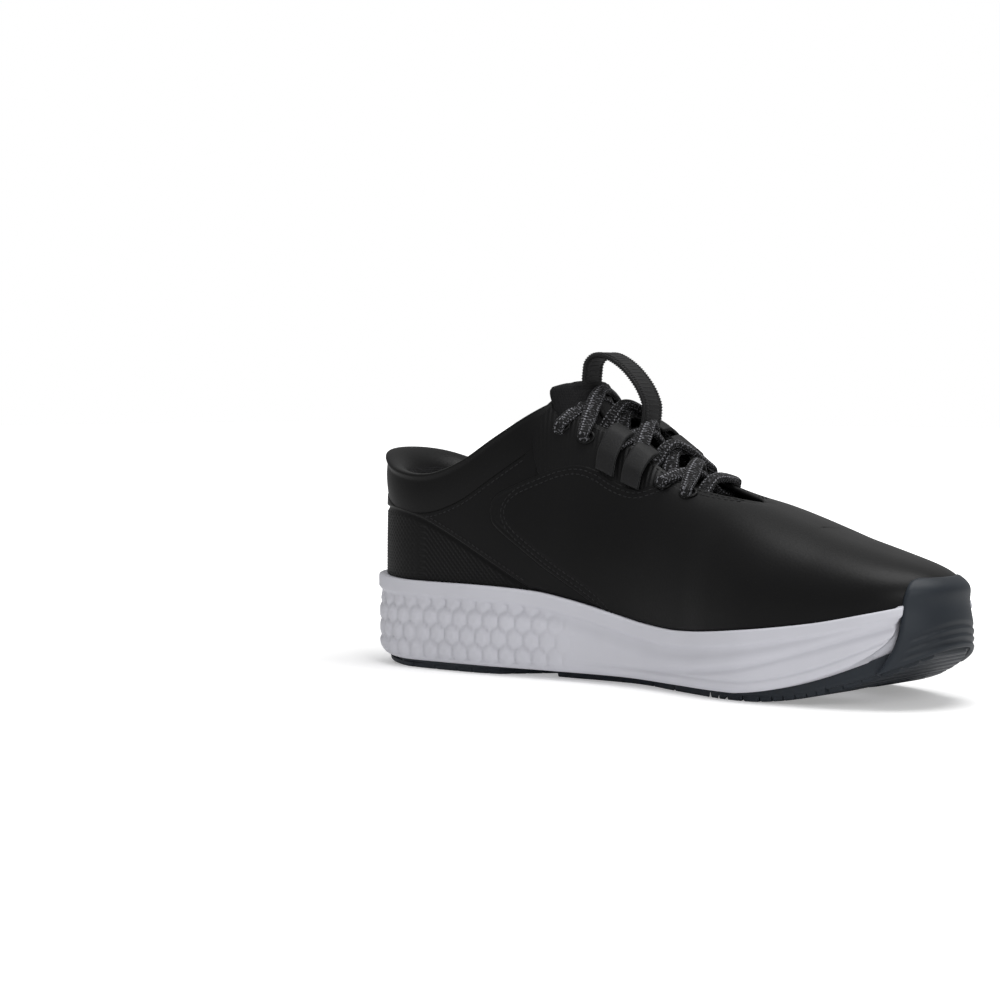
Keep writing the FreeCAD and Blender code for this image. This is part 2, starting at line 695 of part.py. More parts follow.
def lace_route():
    """Criss-cross: down one way to the first row, straight across it, and back up the other way."""
    points = end_points(-1)
    side = -1
    for row in range(len(ROWS) - 2, -1, -1):
        middle_x = (ROWS[row] + ROWS[row + 1]) / 2.0
        points.append(Vector(middle_x, axis_y(middle_x), crown_z(middle_x, 0.0) + LACE_R + 0.5))
        side = -side
        points += turn_points(row, side)
    x = ROWS[0] + 2.0
    points.append(Vector(x, axis_y(x), crown_z(x, 0.0) + LACE_R + 1.5))
    side = -side
    points += turn_points(0, side)[::-1]
    for row in range(1, len(ROWS)):
        middle_x = (ROWS[row] + ROWS[row - 1]) / 2.0
        points.append(Vector(middle_x, axis_y(middle_x), crown_z(middle_x, 0.0) + 3 * LACE_R + 1.3))
        side = -side
        if row < len(ROWS) - 1:
            points += turn_points(row, side)[::-1]
    return points + end_points(1)[::-1]


def rounded_path(points):
    """Straight runs joined by tangent arcs, each as large as its two runs allow."""
    edges, radii, here = [], [], points[0]
    for a, b, c in zip(points, points[1:], points[2:]):
        back, on = (a - b), (c - b)
        short = min(back.Length, on.Length) * 0.45
        back.normalize()
        on.normalize()
        opening_angle = back.getAngle(on)
        radius = short * math.tan(opening_angle / 2.0)
        bisector = (back + on).normalize()
        middle = b + bisector * (short / math.cos(opening_angle / 2.0) - radius)
        start, stop = b + back * short, b + on * short
        radii.append(radius)
        edges += [line(here, start).toShape(), Part.Arc(start, middle, stop).toShape()]
        here = stop
    edges.append(line(here, points[-1]).toShape())
    return Part.Wire(edges), radii


def tube(points, radius):
    path, radii = rounded_path(points)
    first = (points[1] - points[0]).normalize()
    ring = Part.Wire([Part.Circle(points[0], first, radius).toShape()])
    solid = path.makePipeShell([ring], True, False)
    return solid, path.Length, radii


route = lace_route()
lace_shape, lace_length, lace_radii = tube(route, LACE_R)
expected = math.pi * LACE_R ** 2 * lace_length
print("lace length %.0f, volume ratio %.3f, radii from %.1f to %.1f" % (
    lace_length, lace_shape.Volume / expected, min(lace_radii), max(lace_radii)))
keep("lace", lace_shape)
lace_room = tube(route, LACE_R + 0.35)[0]


def aglet(side):
    """Hard tip on the lace's end, hanging inside the shoe."""
    name = "aglet_" + ("medial" if side < 0 else "lateral")
    tip = doc.addObject("Part::Cylinder", name)
    tip.Label = name
    tip.setExpression("Radius", "dims.aglet_diameter / 2")
    tip.setExpression("Height", "dims.aglet_length")
    end = end_points(side)[0]
    drop = Vector(0, 0, dim("aglet_length") + 0.1)
    tip.Placement = FreeCAD.Placement(end - drop, FreeCAD.Rotation())
    nodes[name] = tip


for side in (-1, 1):
    aglet(side)

# ---------------------------------------------------------------- facings and lace loops
LOOP_ROWS = (2, 3)


def lace_loops(side):
    """Two webbing tabs that stand over the facing's edge and carry the lace."""
    skin = layer(-2.2, -0.3)
    tabs = []
    for row in LOOP_ROWS:
        x = ROWS[row]
        near = axis_y(x) + side * (smooth(THROAT, x) - 1.0)
        far = near + side * 12.0
        block = Part.makeBox(8.0, abs(far - near), 60.0, Vector(x - 4.0, min(near, far), 70.0))
        tabs.append(solid_of(skin.common(block).cut(lace_room)))
    return Part.makeCompound(tabs)


vamp_rear = solid_of(nodes["vamp_rear"].Shape.cut(lace_room))
nodes["vamp_rear"].Shape = vamp_rear
for side, name in ((-1, "medial"), (1, "lateral")):
    keep("facing_" + name, solid_of(facings[side].cut(lace_room)))
    keep("lace_loops_" + name, lace_loops(side))
keep("quarter_lining", solid_of(quarter_lining.cut(lace_room)))

# ---------------------------------------------------------------- checks and files
doc.recompute()
for item in doc.Objects:
    if "Invalid" in item.State or "Error" in item.State:
        raise RuntimeError(item.Name + " failed: " + str(item.State))
for name, item in nodes.items():
    shape = item.Shape
    if shape.isNull() or not shape.isValid() or not shape.Solids:
        raise RuntimeError(name + " has no valid solid")
for name, item in sorted(nodes.items()):
    shape = item.Shape
    shape.exportStep("parts/" + name + ".step")
    box = shape.BoundBox
    print("%-26s %2d solid  %8.0f mm3  x %.0f..%.0f y %.0f..%.0f z %.1f..%.1f" % (
        name, len(shape.Solids), shape.Volume, box.XMin, box.XMax, box.YMin, box.YMax, box.ZMin, box.ZMax))
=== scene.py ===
import math

import bmesh
import bpy
import numpy as np
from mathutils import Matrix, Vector


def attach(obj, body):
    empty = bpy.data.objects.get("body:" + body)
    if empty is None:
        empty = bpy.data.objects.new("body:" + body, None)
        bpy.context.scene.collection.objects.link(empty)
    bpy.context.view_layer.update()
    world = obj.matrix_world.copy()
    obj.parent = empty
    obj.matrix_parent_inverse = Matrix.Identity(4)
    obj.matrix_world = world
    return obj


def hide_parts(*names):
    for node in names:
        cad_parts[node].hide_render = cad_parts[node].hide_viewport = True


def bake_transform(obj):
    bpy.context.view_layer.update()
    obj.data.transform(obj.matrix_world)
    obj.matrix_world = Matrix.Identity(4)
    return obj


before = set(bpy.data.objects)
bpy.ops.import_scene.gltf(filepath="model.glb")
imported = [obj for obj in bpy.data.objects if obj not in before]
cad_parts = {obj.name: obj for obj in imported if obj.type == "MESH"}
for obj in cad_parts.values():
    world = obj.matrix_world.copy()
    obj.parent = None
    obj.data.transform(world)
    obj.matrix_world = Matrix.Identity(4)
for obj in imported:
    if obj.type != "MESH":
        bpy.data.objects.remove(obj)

bl_info = {
    "name": "Golf Shoe",
    "version": (1, 0, 0),
    "blender": (4, 5, 0),
    "location": "View3D > Sidebar > Golf Shoe",
    "description": "Builds the outside of a left golf shoe over its frame: upper, tongue, lace and treaded sole",
    "category": "Add Mesh",
}

MM = 0.001
REAR, FRONT, TONGUE_BODY, LOOP_BODY = "rearfoot", "forefoot", "rearfoot", "pull_loop_body"
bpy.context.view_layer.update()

# ------------------------------------------------------------------ the shoe's own shape, in millimetres
HALF, HEEL_CENTRE, TOE_CENTRE = 150.0, -105.0, 85.0
HEEL_POWER, TOE_POWER, CROWN_POWER = 2.4, 2.2, 2.4
BREADTHS = [
    (-150, 39.0, 40.0), (-110, 39.0, 42.0), (-72, 38.5, 41.5), (-35, 34.9, 39.6), (3, 32.4, 44.1),
    (38, 38.0, 55.5), (56, 42.3, 59.2), (74, 43.8, 58.2), (100, 40.5, 49.5), (150, 39.5, 40.5),
]
FEATHER = [
    (-150, 41.5), (-118, 39.5), (-70, 39.0), (-42, 37.5), (-23, 34.5), (-3, 30.5), (14, 27.5),
    (36, 26.0), (64, 28.0), (104, 33.0), (128, 38.0), (150, 43.5),
]
CROWN = [
    (-150, 150), (-80, 150), (-60, 138), (-41, 122), (-29, 116), (-12, 108), (0, 100), (13, 91),
    (25, 85), (40, 80), (57, 76), (80, 69.5), (100, 64), (122, 60), (150, 58),
]
TOPLINE = [(-150, 99), (-142, 96), (-125, 89), (-105, 87), (-85, 93), (-67, 104), (-55, 112), (-42, 121)]
THROAT = [(-48, 15), (-20, 13), (0, 11.5), (25, 10), (38, 8.5), (48, 5.5)]
THROAT_END = 54.0
FLANGE = 4.0
TREAD, TREAD_TOE, TOE_SPRING, HEEL_BEVEL = 3.6, 9.0, 23.0, 4.0
ANGLES = np.linspace(0.0, math.pi / 2, 321)


def read(stations, x, column=1):
    """Cubic curve through the stations, read at x; flat beyond the ends."""
    xs = np.array([s[0] for s in stations], float)
    ys = np.array([s[column] for s in stations], float)
    last = len(xs) - 1
    order = np.arange(last + 1)
    before, after = np.maximum(order - 1, 0), np.minimum(order + 1, last)
    slope = (ys[after] - ys[before]) / (xs[after] - xs[before])
    here = np.clip(np.asarray(x, float), xs[0], xs[-1])
    k = np.clip(np.searchsorted(xs, here, side="right") - 1, 0, last - 1)
    span = xs[k + 1] - xs[k]
    u = (here - xs[k]) / span
    rise = (2 * u ** 3 - 3 * u ** 2 + 1) * ys[k] + (3 * u ** 2 - 2 * u ** 3) * ys[k + 1]
    return rise + span * ((u ** 3 - 2 * u ** 2 + u) * slope[k] + (u ** 3 - u ** 2) * slope[k + 1])


def ease(value, low, high):
    """0 below low, 1 above high, smooth between."""
    u = np.clip((np.asarray(value, float) - low) / (high - low), 0.0, 1.0)
    return u * u * (3 - 2 * u)


def axis_y(x):
    return -4.0 * ease(x, -50.0, 100.0)


def closure(x, inset, toe_power=TOE_POWER, heel_power=HEEL_POWER):
    """Factor that closes the outline at the toe and the heel."""
    x = np.asarray(x, float)
    toe = np.clip((x - TOE_CENTRE) / (HALF - inset - TOE_CENTRE), 0.0, 1.0)
    heel = np.clip((HEEL_CENTRE - x) / (HALF - inset + HEEL_CENTRE), 0.0, 1.0)
    return (1 - toe ** toe_power) ** (1 / toe_power) * (1 - heel ** heel_power) ** (1 / heel_power)


def half_breadth(x, side, inset):
    return read(BREADTHS, x, 1 if side < 0 else 2) - inset


def feather_z(x):
    return read(FEATHER, x)


def ground_z(x):
    """Underside of the sole: flat, with toe spring and a bevelled heel."""
    toe = np.maximum(np.asarray(x, float) - 70.0, 0.0)
    heel = np.maximum(-115.0 - np.asarray(x, float), 0.0)
    return TOE_SPRING * (toe / 80.0) ** 2 + HEEL_BEVEL * (heel / 35.0) ** 2


def seam_z(x):
    """Joint between rubber and foam."""
    u = np.clip((np.asarray(x, float) - 70.0) / 70.0, 0.0, 1.0)
    return ground_z(x) + TREAD + (TREAD_TOE - TREAD) * u


def crown_z(x, inset):
    end = closure(x, inset + FLANGE, 3.0, 5.0)
    return feather_z(x) + (read(CROWN, x) - inset - feather_z(x)) * end


def rim_point(side, s, inset):
    """Point of the sole's outline; s runs along X and, past the two centres, round the ends to +-150."""
    s = np.asarray(s, float)
    toe = np.radians(90.0 * np.clip((s - TOE_CENTRE) / (HALF - TOE_CENTRE), 0, 1))
    heel = np.radians(90.0 * np.clip((HEEL_CENTRE - s) / (HALF + HEEL_CENTRE), 0, 1))
    x = np.clip(s, HEEL_CENTRE, TOE_CENTRE)
    x = x + (HALF - inset - TOE_CENTRE) * np.sin(toe) ** (2 / TOE_POWER)
    x = x - (HALF - inset + HEEL_CENTRE) * np.sin(heel) ** (2 / HEEL_POWER)
    shut = np.abs(np.cos(toe)) ** (2 / TOE_POWER) * np.abs(np.cos(heel)) ** (2 / HEEL_POWER)
    return x, axis_y(x) + side * half_breadth(x, side, inset) * shut


def plan_height(x, y, inset):
    """Height of the upper's form, moved in by inset, over a plan point."""
    side = np.where(y < axis_y(x), -1.0, 1.0)
    breadth = np.where(side < 0, half_breadth(x, -1, inset + FLANGE), half_breadth(x, 1, inset + FLANGE))
    reach = np.abs(y - axis_y(x)) / np.maximum(breadth * closure(x, inset + FLANGE), 1e-6)
    start = feather_z(x) + 0.2
    arch = np.clip(1 - np.clip(reach, 0, 1) ** CROWN_POWER, 0, 1) ** (1 / CROWN_POWER)
    return start + (crown_z(x, inset) - start) * arch


def skin(side, s, angle, inset=0.0):
    """Point of the upper's surface: s as in rim_point, angle from the feather line up to the crest."""
    s, angle = np.broadcast_arrays(np.asarray(s, float), np.asarray(angle, float))
    rim_x, rim_y = rim_point(side, s, inset + FLANGE)
    centre_x = np.clip(s, HEEL_CENTRE, TOE_CENTRE)
    centre_y = axis_y(centre_x)
    share = np.abs(np.cos(angle)) ** (2 / CROWN_POWER)
    x = centre_x + (rim_x - centre_x) * share
    y = centre_y + (rim_y - centre_y) * share
    return np.stack([x, y, plan_height(x, y, inset)], -1)


def skin_out(side, s, angle, inset=0.0):
    """Outward unit normal of the upper's surface."""
    s, angle = np.broadcast_arrays(np.asarray(s, float), np.asarray(angle, float))
    low, high = np.maximum(angle - 0.01, 0.004), np.minimum(angle + 0.01, math.pi / 2 - 0.002)
    high = np.maximum(high, low + 0.004)
    ahead, behind = np.minimum(s + 0.4, HALF), np.maximum(s - 0.4, -HALF)
    mid = np.clip(angle, 0.01, math.pi / 2 - 0.012)
    along = skin(side, ahead, mid, inset) - skin(side, behind, mid, inset)
    up = skin(side, s, high, inset) - skin(side, s, low, inset)
    normal = np.cross(up, along) * side
    return normal / np.maximum(np.linalg.norm(normal, axis=-1, keepdims=True), 1e-9)


def angle_where(side, s, test, inset=0.0):
    """For each station the lowest angle at which test(x, y, z) is no longer negative."""
    s = np.atleast_1d(np.asarray(s, float))
    points = skin(side, s[:, None], ANGLES[None, :], inset)
    value = test(points[..., 0], points[..., 1], points[..., 2])
    found = value >= 0
    k = np.where(found.any(1), found.argmax(1), len(ANGLES) - 1)
    rows = np.arange(len(s))
    before = np.maximum(k - 1, 0)
    a, b = value[rows, before], value[rows, k]
    part = np.where((k > 0) & (b > 0) & (a < 0), -a / np.where(b - a == 0, 1, b - a), 1.0)
    return ANGLES[before] + (ANGLES[k] - ANGLES[before]) * part


def height_test(stations, lift=0.0):
    """Boundary given in side view, z at stations of x."""
    return lambda x, y, z: z - (read(stations, x) + lift)


def throat_half(x):
    """Half width of the lacing gap, closed in a point at its front."""
    x = np.asarray(x, float)
    nose = 5.5 * np.sqrt(np.clip((THROAT_END - x) / (THROAT_END - 48.0), 0, 1))
    return np.where(x < 48.0, read(THROAT, x), nose)


def throat_test(grow=0.0):
    return lambda x, y, z: throat_half(x - grow * 0.5) + grow - np.abs(y - axis_y(x))


# ------------------------------------------------------------------ mesh helpers
def grid_faces(rows, columns, flip=False, start=0):
    """Quads of a grid whose point (i, j) is number start + i * columns + j."""
    i, j = np.meshgrid(np.arange(rows - 1), np.arange(columns - 1), indexing="ij")
    a = (start + i * columns + j).ravel()
    quads = np.stack([a, a + columns, a + columns + 1, a + 1], 1)
    return quads[:, ::-1] if flip else quads


def new_piece(name, points, faces, materials, merge=0.0, smooth=True, index=None):
    """A mesh piece from millimetre points, linked to the scene."""
    mesh = bpy.data.meshes.new(name)
    metres = (np.asarray(points, float).reshape(-1, 3) * MM).tolist()
    mesh.from_pydata(metres, [], [list(map(int, f)) for f in faces])
    for material in materials:
        mesh.materials.append(material)
    if index is not None:
        mesh.polygons.foreach_set("material_index", np.asarray(index, dtype=np.int32))
    mesh.polygons.foreach_set("use_smooth", [smooth] * len(mesh.polygons))
    piece = bpy.data.objects.new(name, mesh)
    bpy.context.scene.collection.objects.link(piece)
    if merge:
        tidy_mesh(piece, merge)
    return piece


def tidy_mesh(piece, merge, turn=False):
    """Weld points nearer than merge and drop faces without area."""
    work = bmesh.new()
    work.from_mesh(piece.data)
    bmesh.ops.remove_doubles(work, verts=work.verts, dist=merge * MM)
    bmesh.ops.dissolve_degenerate(work, edges=work.edges, dist=1e-7)
    if turn:
        bmesh.ops.recalc_face_normals(work, faces=work.faces)
    work.to_mesh(piece.data)
    work.free()


def bake(piece):
    """Applies the live modifiers, so the piece is a plain mesh."""
    shown = piece.evaluated_get(bpy.context.evaluated_depsgraph_get())
    mesh = bpy.data.meshes.new_from_object(shown)
    piece.modifiers.clear()
    piece.data = mesh
    mesh.name = piece.name
    return piece


def solidify(piece, thick, inwards=True):
    wall = piece.modifiers.new("Wall", "SOLIDIFY")
    wall.thickness = thick * MM
    wall.offset = -1.0 if inwards else 1.0
    wall.use_even_offset = False
    return bake(piece)


def settle(piece, body, slot_name, *stands_for):
    """Rides the finished piece on its body, or for the body bend bakes its placement into the mesh, and hides the
    frame nodes it stands for.
    """
    if body == "bend":
        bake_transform(piece)
    else:
        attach(piece, body)
    if stands_for:
        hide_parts(*stands_for)
    return piece


def edge_distance(points, border):
    """Distance of every grid point to the nearest border point."""
    flat = points.reshape(-1, 3)
    near = np.empty(len(flat))
    for k in range(0, len(flat), 4000):
        gap = flat[k:k + 4000, None, :] - border[None, :, :]
        near[k:k + 4000] = np.sqrt((gap ** 2).sum(-1)).min(1)
    return near.reshape(points.shape[:-1])


def rounded(distance, radius):
    """Quarter round: 0 at an edge, 1 from radius inwards."""
    u = 1 - np.clip(distance / radius, 0, 1)
    return np.sqrt(np.clip(1 - u * u, 0, 1))


def edge_rows(count, sharp=True):
    """Row positions 0..1, closer together at both edges."""
    t = np.linspace(0, 1, count)
    even = t
    fine = 0.5 - 0.5 * np.cos(math.pi * t)
    return 0.25 * even + 0.75 * fine if sharp else even


def panel(side, s, low, high, lift, rows, free, drop=None, radius=0.9, relief=None, inset=0.0):
    """Leather panel on the upper, between two boundary angles; its free edges are rolled down."""
    t = edge_rows(rows)
    angle = low[:, None] + (high - low)[:, None] * t[None, :]
    where = np.repeat(s[:, None], rows, 1)
    base = skin(side, where, angle, inset)
    out = skin_out(side, where, angle, inset)
    border = []
    if "low" in free:
        border.append(base[:, 0])
    if "high" in free:
        border.append(base[:, -1])
    if "start" in free:
        border.append(base[0])
    if "end" in free:
        border.append(base[-1])
    offset = np.full(base.shape[:2], float(lift))
    if border:
        dense = np.concatenate([thicken(line) for line in border])
        distance = edge_distance(base, dense)
        offset -= (lift + 0.25 if drop is None else drop) * (1 - rounded(distance, radius))
    else:
        distance = np.full(base.shape[:2], 99.0)
    if relief is not None:
        offset += relief(base, distance)
    return base + out * offset[..., None]


def thicken(line, step=0.4):
    """The same line with points no more than a step apart."""
    lengths = np.linalg.norm(np.diff(line, axis=0), axis=1)
    parts = [line[:1]]
    for a, b, size in zip(line[:-1], line[1:], lengths):
        count = max(int(size / step), 1)
        parts.append(a + (b - a) * (np.arange(1, count + 1)[:, None] / count))
    return np.concatenate(parts)


# ------------------------------------------------------------------ finishes
class Paint:
    """One procedural finish: its shader and short ways to add nodes to it."""

    def __init__(self, name, roughness, specular=0.5, sheen=0.0, coat=0.0):
        self.material = bpy.data.materials.new(name)
        self.material.use_nodes = True
        self.tree = self.material.node_tree
        self.shader = self.tree.nodes["Principled BSDF"]
        self.shader.inputs["Roughness"].default_value = roughness
        self.shader.inputs["Specular IOR Level"].default_value = specular
        self.shader.inputs["Sheen Weight"].default_value = sheen
        self.shader.inputs["Coat Weight"].default_value = coat
        self.place = self.node("ShaderNodeTexCoord").outputs["Object"]

    def node(self, kind, **values):
        made = self.tree.nodes.new(kind)
        for key, value in values.items():
            if key in made.inputs:
                made.inputs[key].default_value = value
            else:
                setattr(made, key, value)
        return made

    def link(self, a, b):
        self.tree.links.new(a, b)

    def noise(self, scale, detail=3.0, source=None):
        made = self.node("ShaderNodeTexNoise", Scale=scale, Detail=detail)
        self.link(source or self.place, made.inputs["Vector"])
        return made.outputs["Fac"]

    def cells(self, scale, source=None):
        made = self.node("ShaderNodeTexVoronoi", Scale=scale)
        made.feature = "SMOOTH_F1"
        self.link(source or self.place, made.inputs["Vector"])
        return made.outputs["Distance"]

    def waves(self, scale, turn=(0, 0, 0), source=None):
        """Straight waves along X of a turned copy of the coordinates; one wave is 0.314 / scale long."""
        mapping = self.node("ShaderNodeMapping")
        mapping.inputs["Rotation"].default_value = turn
        self.link(source or self.place, mapping.inputs["Vector"])
        made = self.node("ShaderNodeTexWave", Scale=scale)
        made.wave_profile = "SIN"
        self.link(mapping.outputs["Vector"], made.inputs["Vector"])
        return made.outputs["Fac"]

    def math(self, operation, a, b):
        made = self.node("ShaderNodeMath", operation=operation)
        for socket, value in zip(made.inputs, (a, b)):
            if isinstance(value, (int, float)):
                socket.default_value = value
            else:
                self.link(value, socket)
        return made.outputs[0]

    def ramp(self, factor, stops):
        made = self.node("ShaderNodeValToRGB")
        elements = made.color_ramp.elements
        while len(elements) < len(stops):
            elements.new(0.5)
        for element, (position, colour) in zip(elements, stops):
            element.position = position
            element.color = (*colour, 1.0)
        self.link(factor, made.inputs["Fac"])
        return made.outputs["Color"]

    def colour(self, factor, stops):
        self.link(self.ramp(factor, stops), self.shader.inputs["Base Color"])
        return self

    def rough(self, factor, low, high):
        made = self.node("ShaderNodeMapRange")
        made.inputs["To Min"].default_value = low
        made.inputs["To Max"].default_value = high
        self.link(factor, made.inputs["Value"])
        self.link(made.outputs["Result"], self.shader.inputs["Roughness"])
        return self

    def bump(self, height, strength, distance_mm):
        made = self.node("ShaderNodeBump", Strength=strength, Distance=distance_mm * MM)
        self.link(height, made.inputs["Height"])
        self.link(made.outputs["Normal"], self.shader.inputs["Normal"])
        return self


def shade(colour, factor):
    return tuple(min(c * factor, 1.0) for c in colour)


def leather_paint(name, colour, grain):
    """Smooth pebbled leather with a soft, uneven gloss."""
    paint = Paint(name, 0.40, specular=0.17)
    pebble = paint.cells(1000.0 / grain)
    pores = paint.noise(2600.0, 2.0)
    broad = paint.noise(22.0, 4.0)
    paint.colour(broad, [(0.3, shade(colour, 0.8)), (0.7, shade(colour, 1.35))])
    paint.rough(broad, 0.36, 0.5)
    height = paint.math("ADD", paint.math("MULTIPLY", pebble, 0.6), paint.math("MULTIPLY", pores, 0.5))
    return paint.bump(height, 0.35, 0.12).material


def cloth_paint(name, colour, pitch, rough=0.85):
    """Fine plain weave on object coordinates."""
    paint = Paint(name, rough, specular=0.15, sheen=0.04)
    scale = 0.314 / (pitch * MM)
    across = paint.waves(scale, (0.0, 0.0, 0.0))
    along = paint.waves(scale, (0.0, 0.0, math.radians(90)))
    up = paint.waves(scale, (0.0, math.radians(90), 0.0))
    weave = paint.math("MULTIPLY", paint.math("MULTIPLY", across, along), 1.0)
    weave = paint.math("ADD", weave, paint.math("MULTIPLY", up, 0.5))
    fuzz = paint.noise(900.0, 3.0)
    both = paint.math("ADD", weave, paint.math("MULTIPLY", fuzz, 0.6))
    paint.colour(both, [(0.25, shade(colour, 0.6)), (0.9, shade(colour, 1.6))])
    return paint.bump(both, 0.5, 0.25).material


def rubber_paint(name, colour):
    """Moulded rubber, matt with a fine skin and worn-looking broad patches."""
    paint = Paint(name, 0.5, specular=0.3)
    broad, fine = paint.noise(35.0, 3.0), paint.noise(1500.0, 2.0)
    paint.colour(broad, [(0.3, shade(colour, 0.85)), (0.7, shade(colour, 1.15))])
    paint.rough(broad, 0.42, 0.58)
    return paint.bump(fine, 0.25, 0.08).material


def foam_paint(name, colour):
    """Moulded foam: nearly white, slightly glowing, with a fine orange-peel skin."""
    paint = Paint(name, 0.45, specular=0.4)
    broad, fine = paint.noise(30.0, 3.0), paint.noise(900.0, 2.0)
    paint.colour(broad, [(0.3, shade(colour, 0.97)), (0.7, shade(colour, 1.03))])
    paint.rough(fine, 0.4, 0.52)
    return paint.bump(fine, 0.18, 0.06).material


def lace_paint(name, colour, fleck):
    """Braided cord: dark yarn with paler flecks and dashed lines that run along it."""
    paint = Paint(name, 0.75, specular=0.2, sheen=0.04)
    along = paint.node("ShaderNodeUVMap", uv_map="Braid").outputs["UV"]
    mapping = paint.node("ShaderNodeMapping")
    mapping.inputs["Scale"].default_value = (1.0, 1.0, 1.0)
    paint.link(along, mapping.inputs["Vector"])
    braid = paint.waves(0.28, (0, 0, math.radians(38)), mapping.outputs["Vector"])
    back = paint.waves(0.28, (0, 0, math.radians(-38)), mapping.outputs["Vector"])
    yarn = paint.math("MULTIPLY", braid, back)
    specks = paint.noise(1.9, 2.0, mapping.outputs["Vector"])
    bright = paint.math("GREATER_THAN", paint.math("ADD", specks, paint.math("MULTIPLY", yarn, 0.10)), 0.62)
    split = paint.node("ShaderNodeSeparateXYZ")
    paint.link(along, split.inputs["Vector"])
    stripe = paint.math("LESS_THAN", paint.math("PINGPONG", split.outputs["Y"], 0.78), 0.10)
    along = paint.math("SINE", paint.math("MULTIPLY", split.outputs["X"], 4.2), 0.0)
    dash = paint.math("GREATER_THAN", along, 0.0)
    lines = paint.math("MULTIPLY", stripe, dash)
    mark = paint.math("MAXIMUM", paint.math("MULTIPLY", bright, 0.55), lines)
    paint.colour(mark, [(0.0, colour), (0.5, shade(fleck, 0.5)), (1.0, fleck)])
    return paint.bump(paint.math("ADD", yarn, paint.math("MULTIPLY", mark, 0.4)), 0.7, 0.35).material


def webbing_paint(name, colour):
    """Flat woven tape with a cross rib."""
    paint = Paint(name, 0.6, specular=0.25, sheen=0.04)
    fuzz, broad = paint.noise(1400.0, 3.0), paint.noise(60.0, 2.0)
    paint.colour(paint.math("MULTIPLY", fuzz, broad), [(0.1, shade(colour, 0.7)), (0.5, shade(colour, 1.7))])
    return paint.bump(fuzz, 0.6, 0.2).material


def film_paint(name, colour):
    """Glossy plastic film, as on a lace tip."""
    paint = Paint(name, 0.25, specular=0.5, coat=0.4)
    broad = paint.noise(120.0, 2.0)
    paint.colour(broad, [(0.3, shade(colour, 0.8)), (0.7, shade(colour, 1.3))])
    return paint.bump(broad, 0.1, 0.05).material


FINISHES = {}


def finish(key):
    """The named finish, made once from the panel's colours."""
    if key in FINISHES:
        return FINISHES[key]
    look = bpy.context.scene.golf_shoe_finish
    leather, rubber, foam = tuple(look.leather), tuple(look.rubber), tuple(look.foam)
    textile = tuple(look.textile)
    makers = {
        "leather": lambda: leather_paint("SmoothLeather", leather, look.grain),
        "collar": lambda: leather_paint("CollarLeather", shade(leather, 0.9), look.grain * 0.8),
        "knurled": lambda: leather_paint("KnurledSynthetic", shade(leather, 0.8), look.grain * 0.5),
        "ribbed": lambda: leather_paint("RibbedSynthetic", shade(leather, 1.25), look.grain * 0.5),
        "lining": lambda: cloth_paint("LiningCloth", textile, 0.9),
        "tongue": lambda: cloth_paint("TongueTextile", shade(textile, 0.9), 0.7),
        "sock": lambda: cloth_paint("SocklinerCloth", shade(textile, 1.6), 1.1),
        "thread": lambda: cloth_paint("Thread", shade(textile, 1.7), 0.3, 0.6),
        "webbing": lambda: webbing_paint("WovenTape", textile),
        "lace": lambda: lace_paint("BraidedLace", shade(textile, 0.8), tuple(look.fleck)),
        "rubber": lambda: rubber_paint("SlateRubber", rubber),
        "foam": lambda: foam_paint("MidsoleFoam", foam),
        "plate": lambda: foam_paint("ForefootPlate", shade(foam, 0.98)),
        "film": lambda: film_paint("LaceTipFilm", leather),
    }
    FINISHES[key] = makers[key]()
    return FINISHES[key]


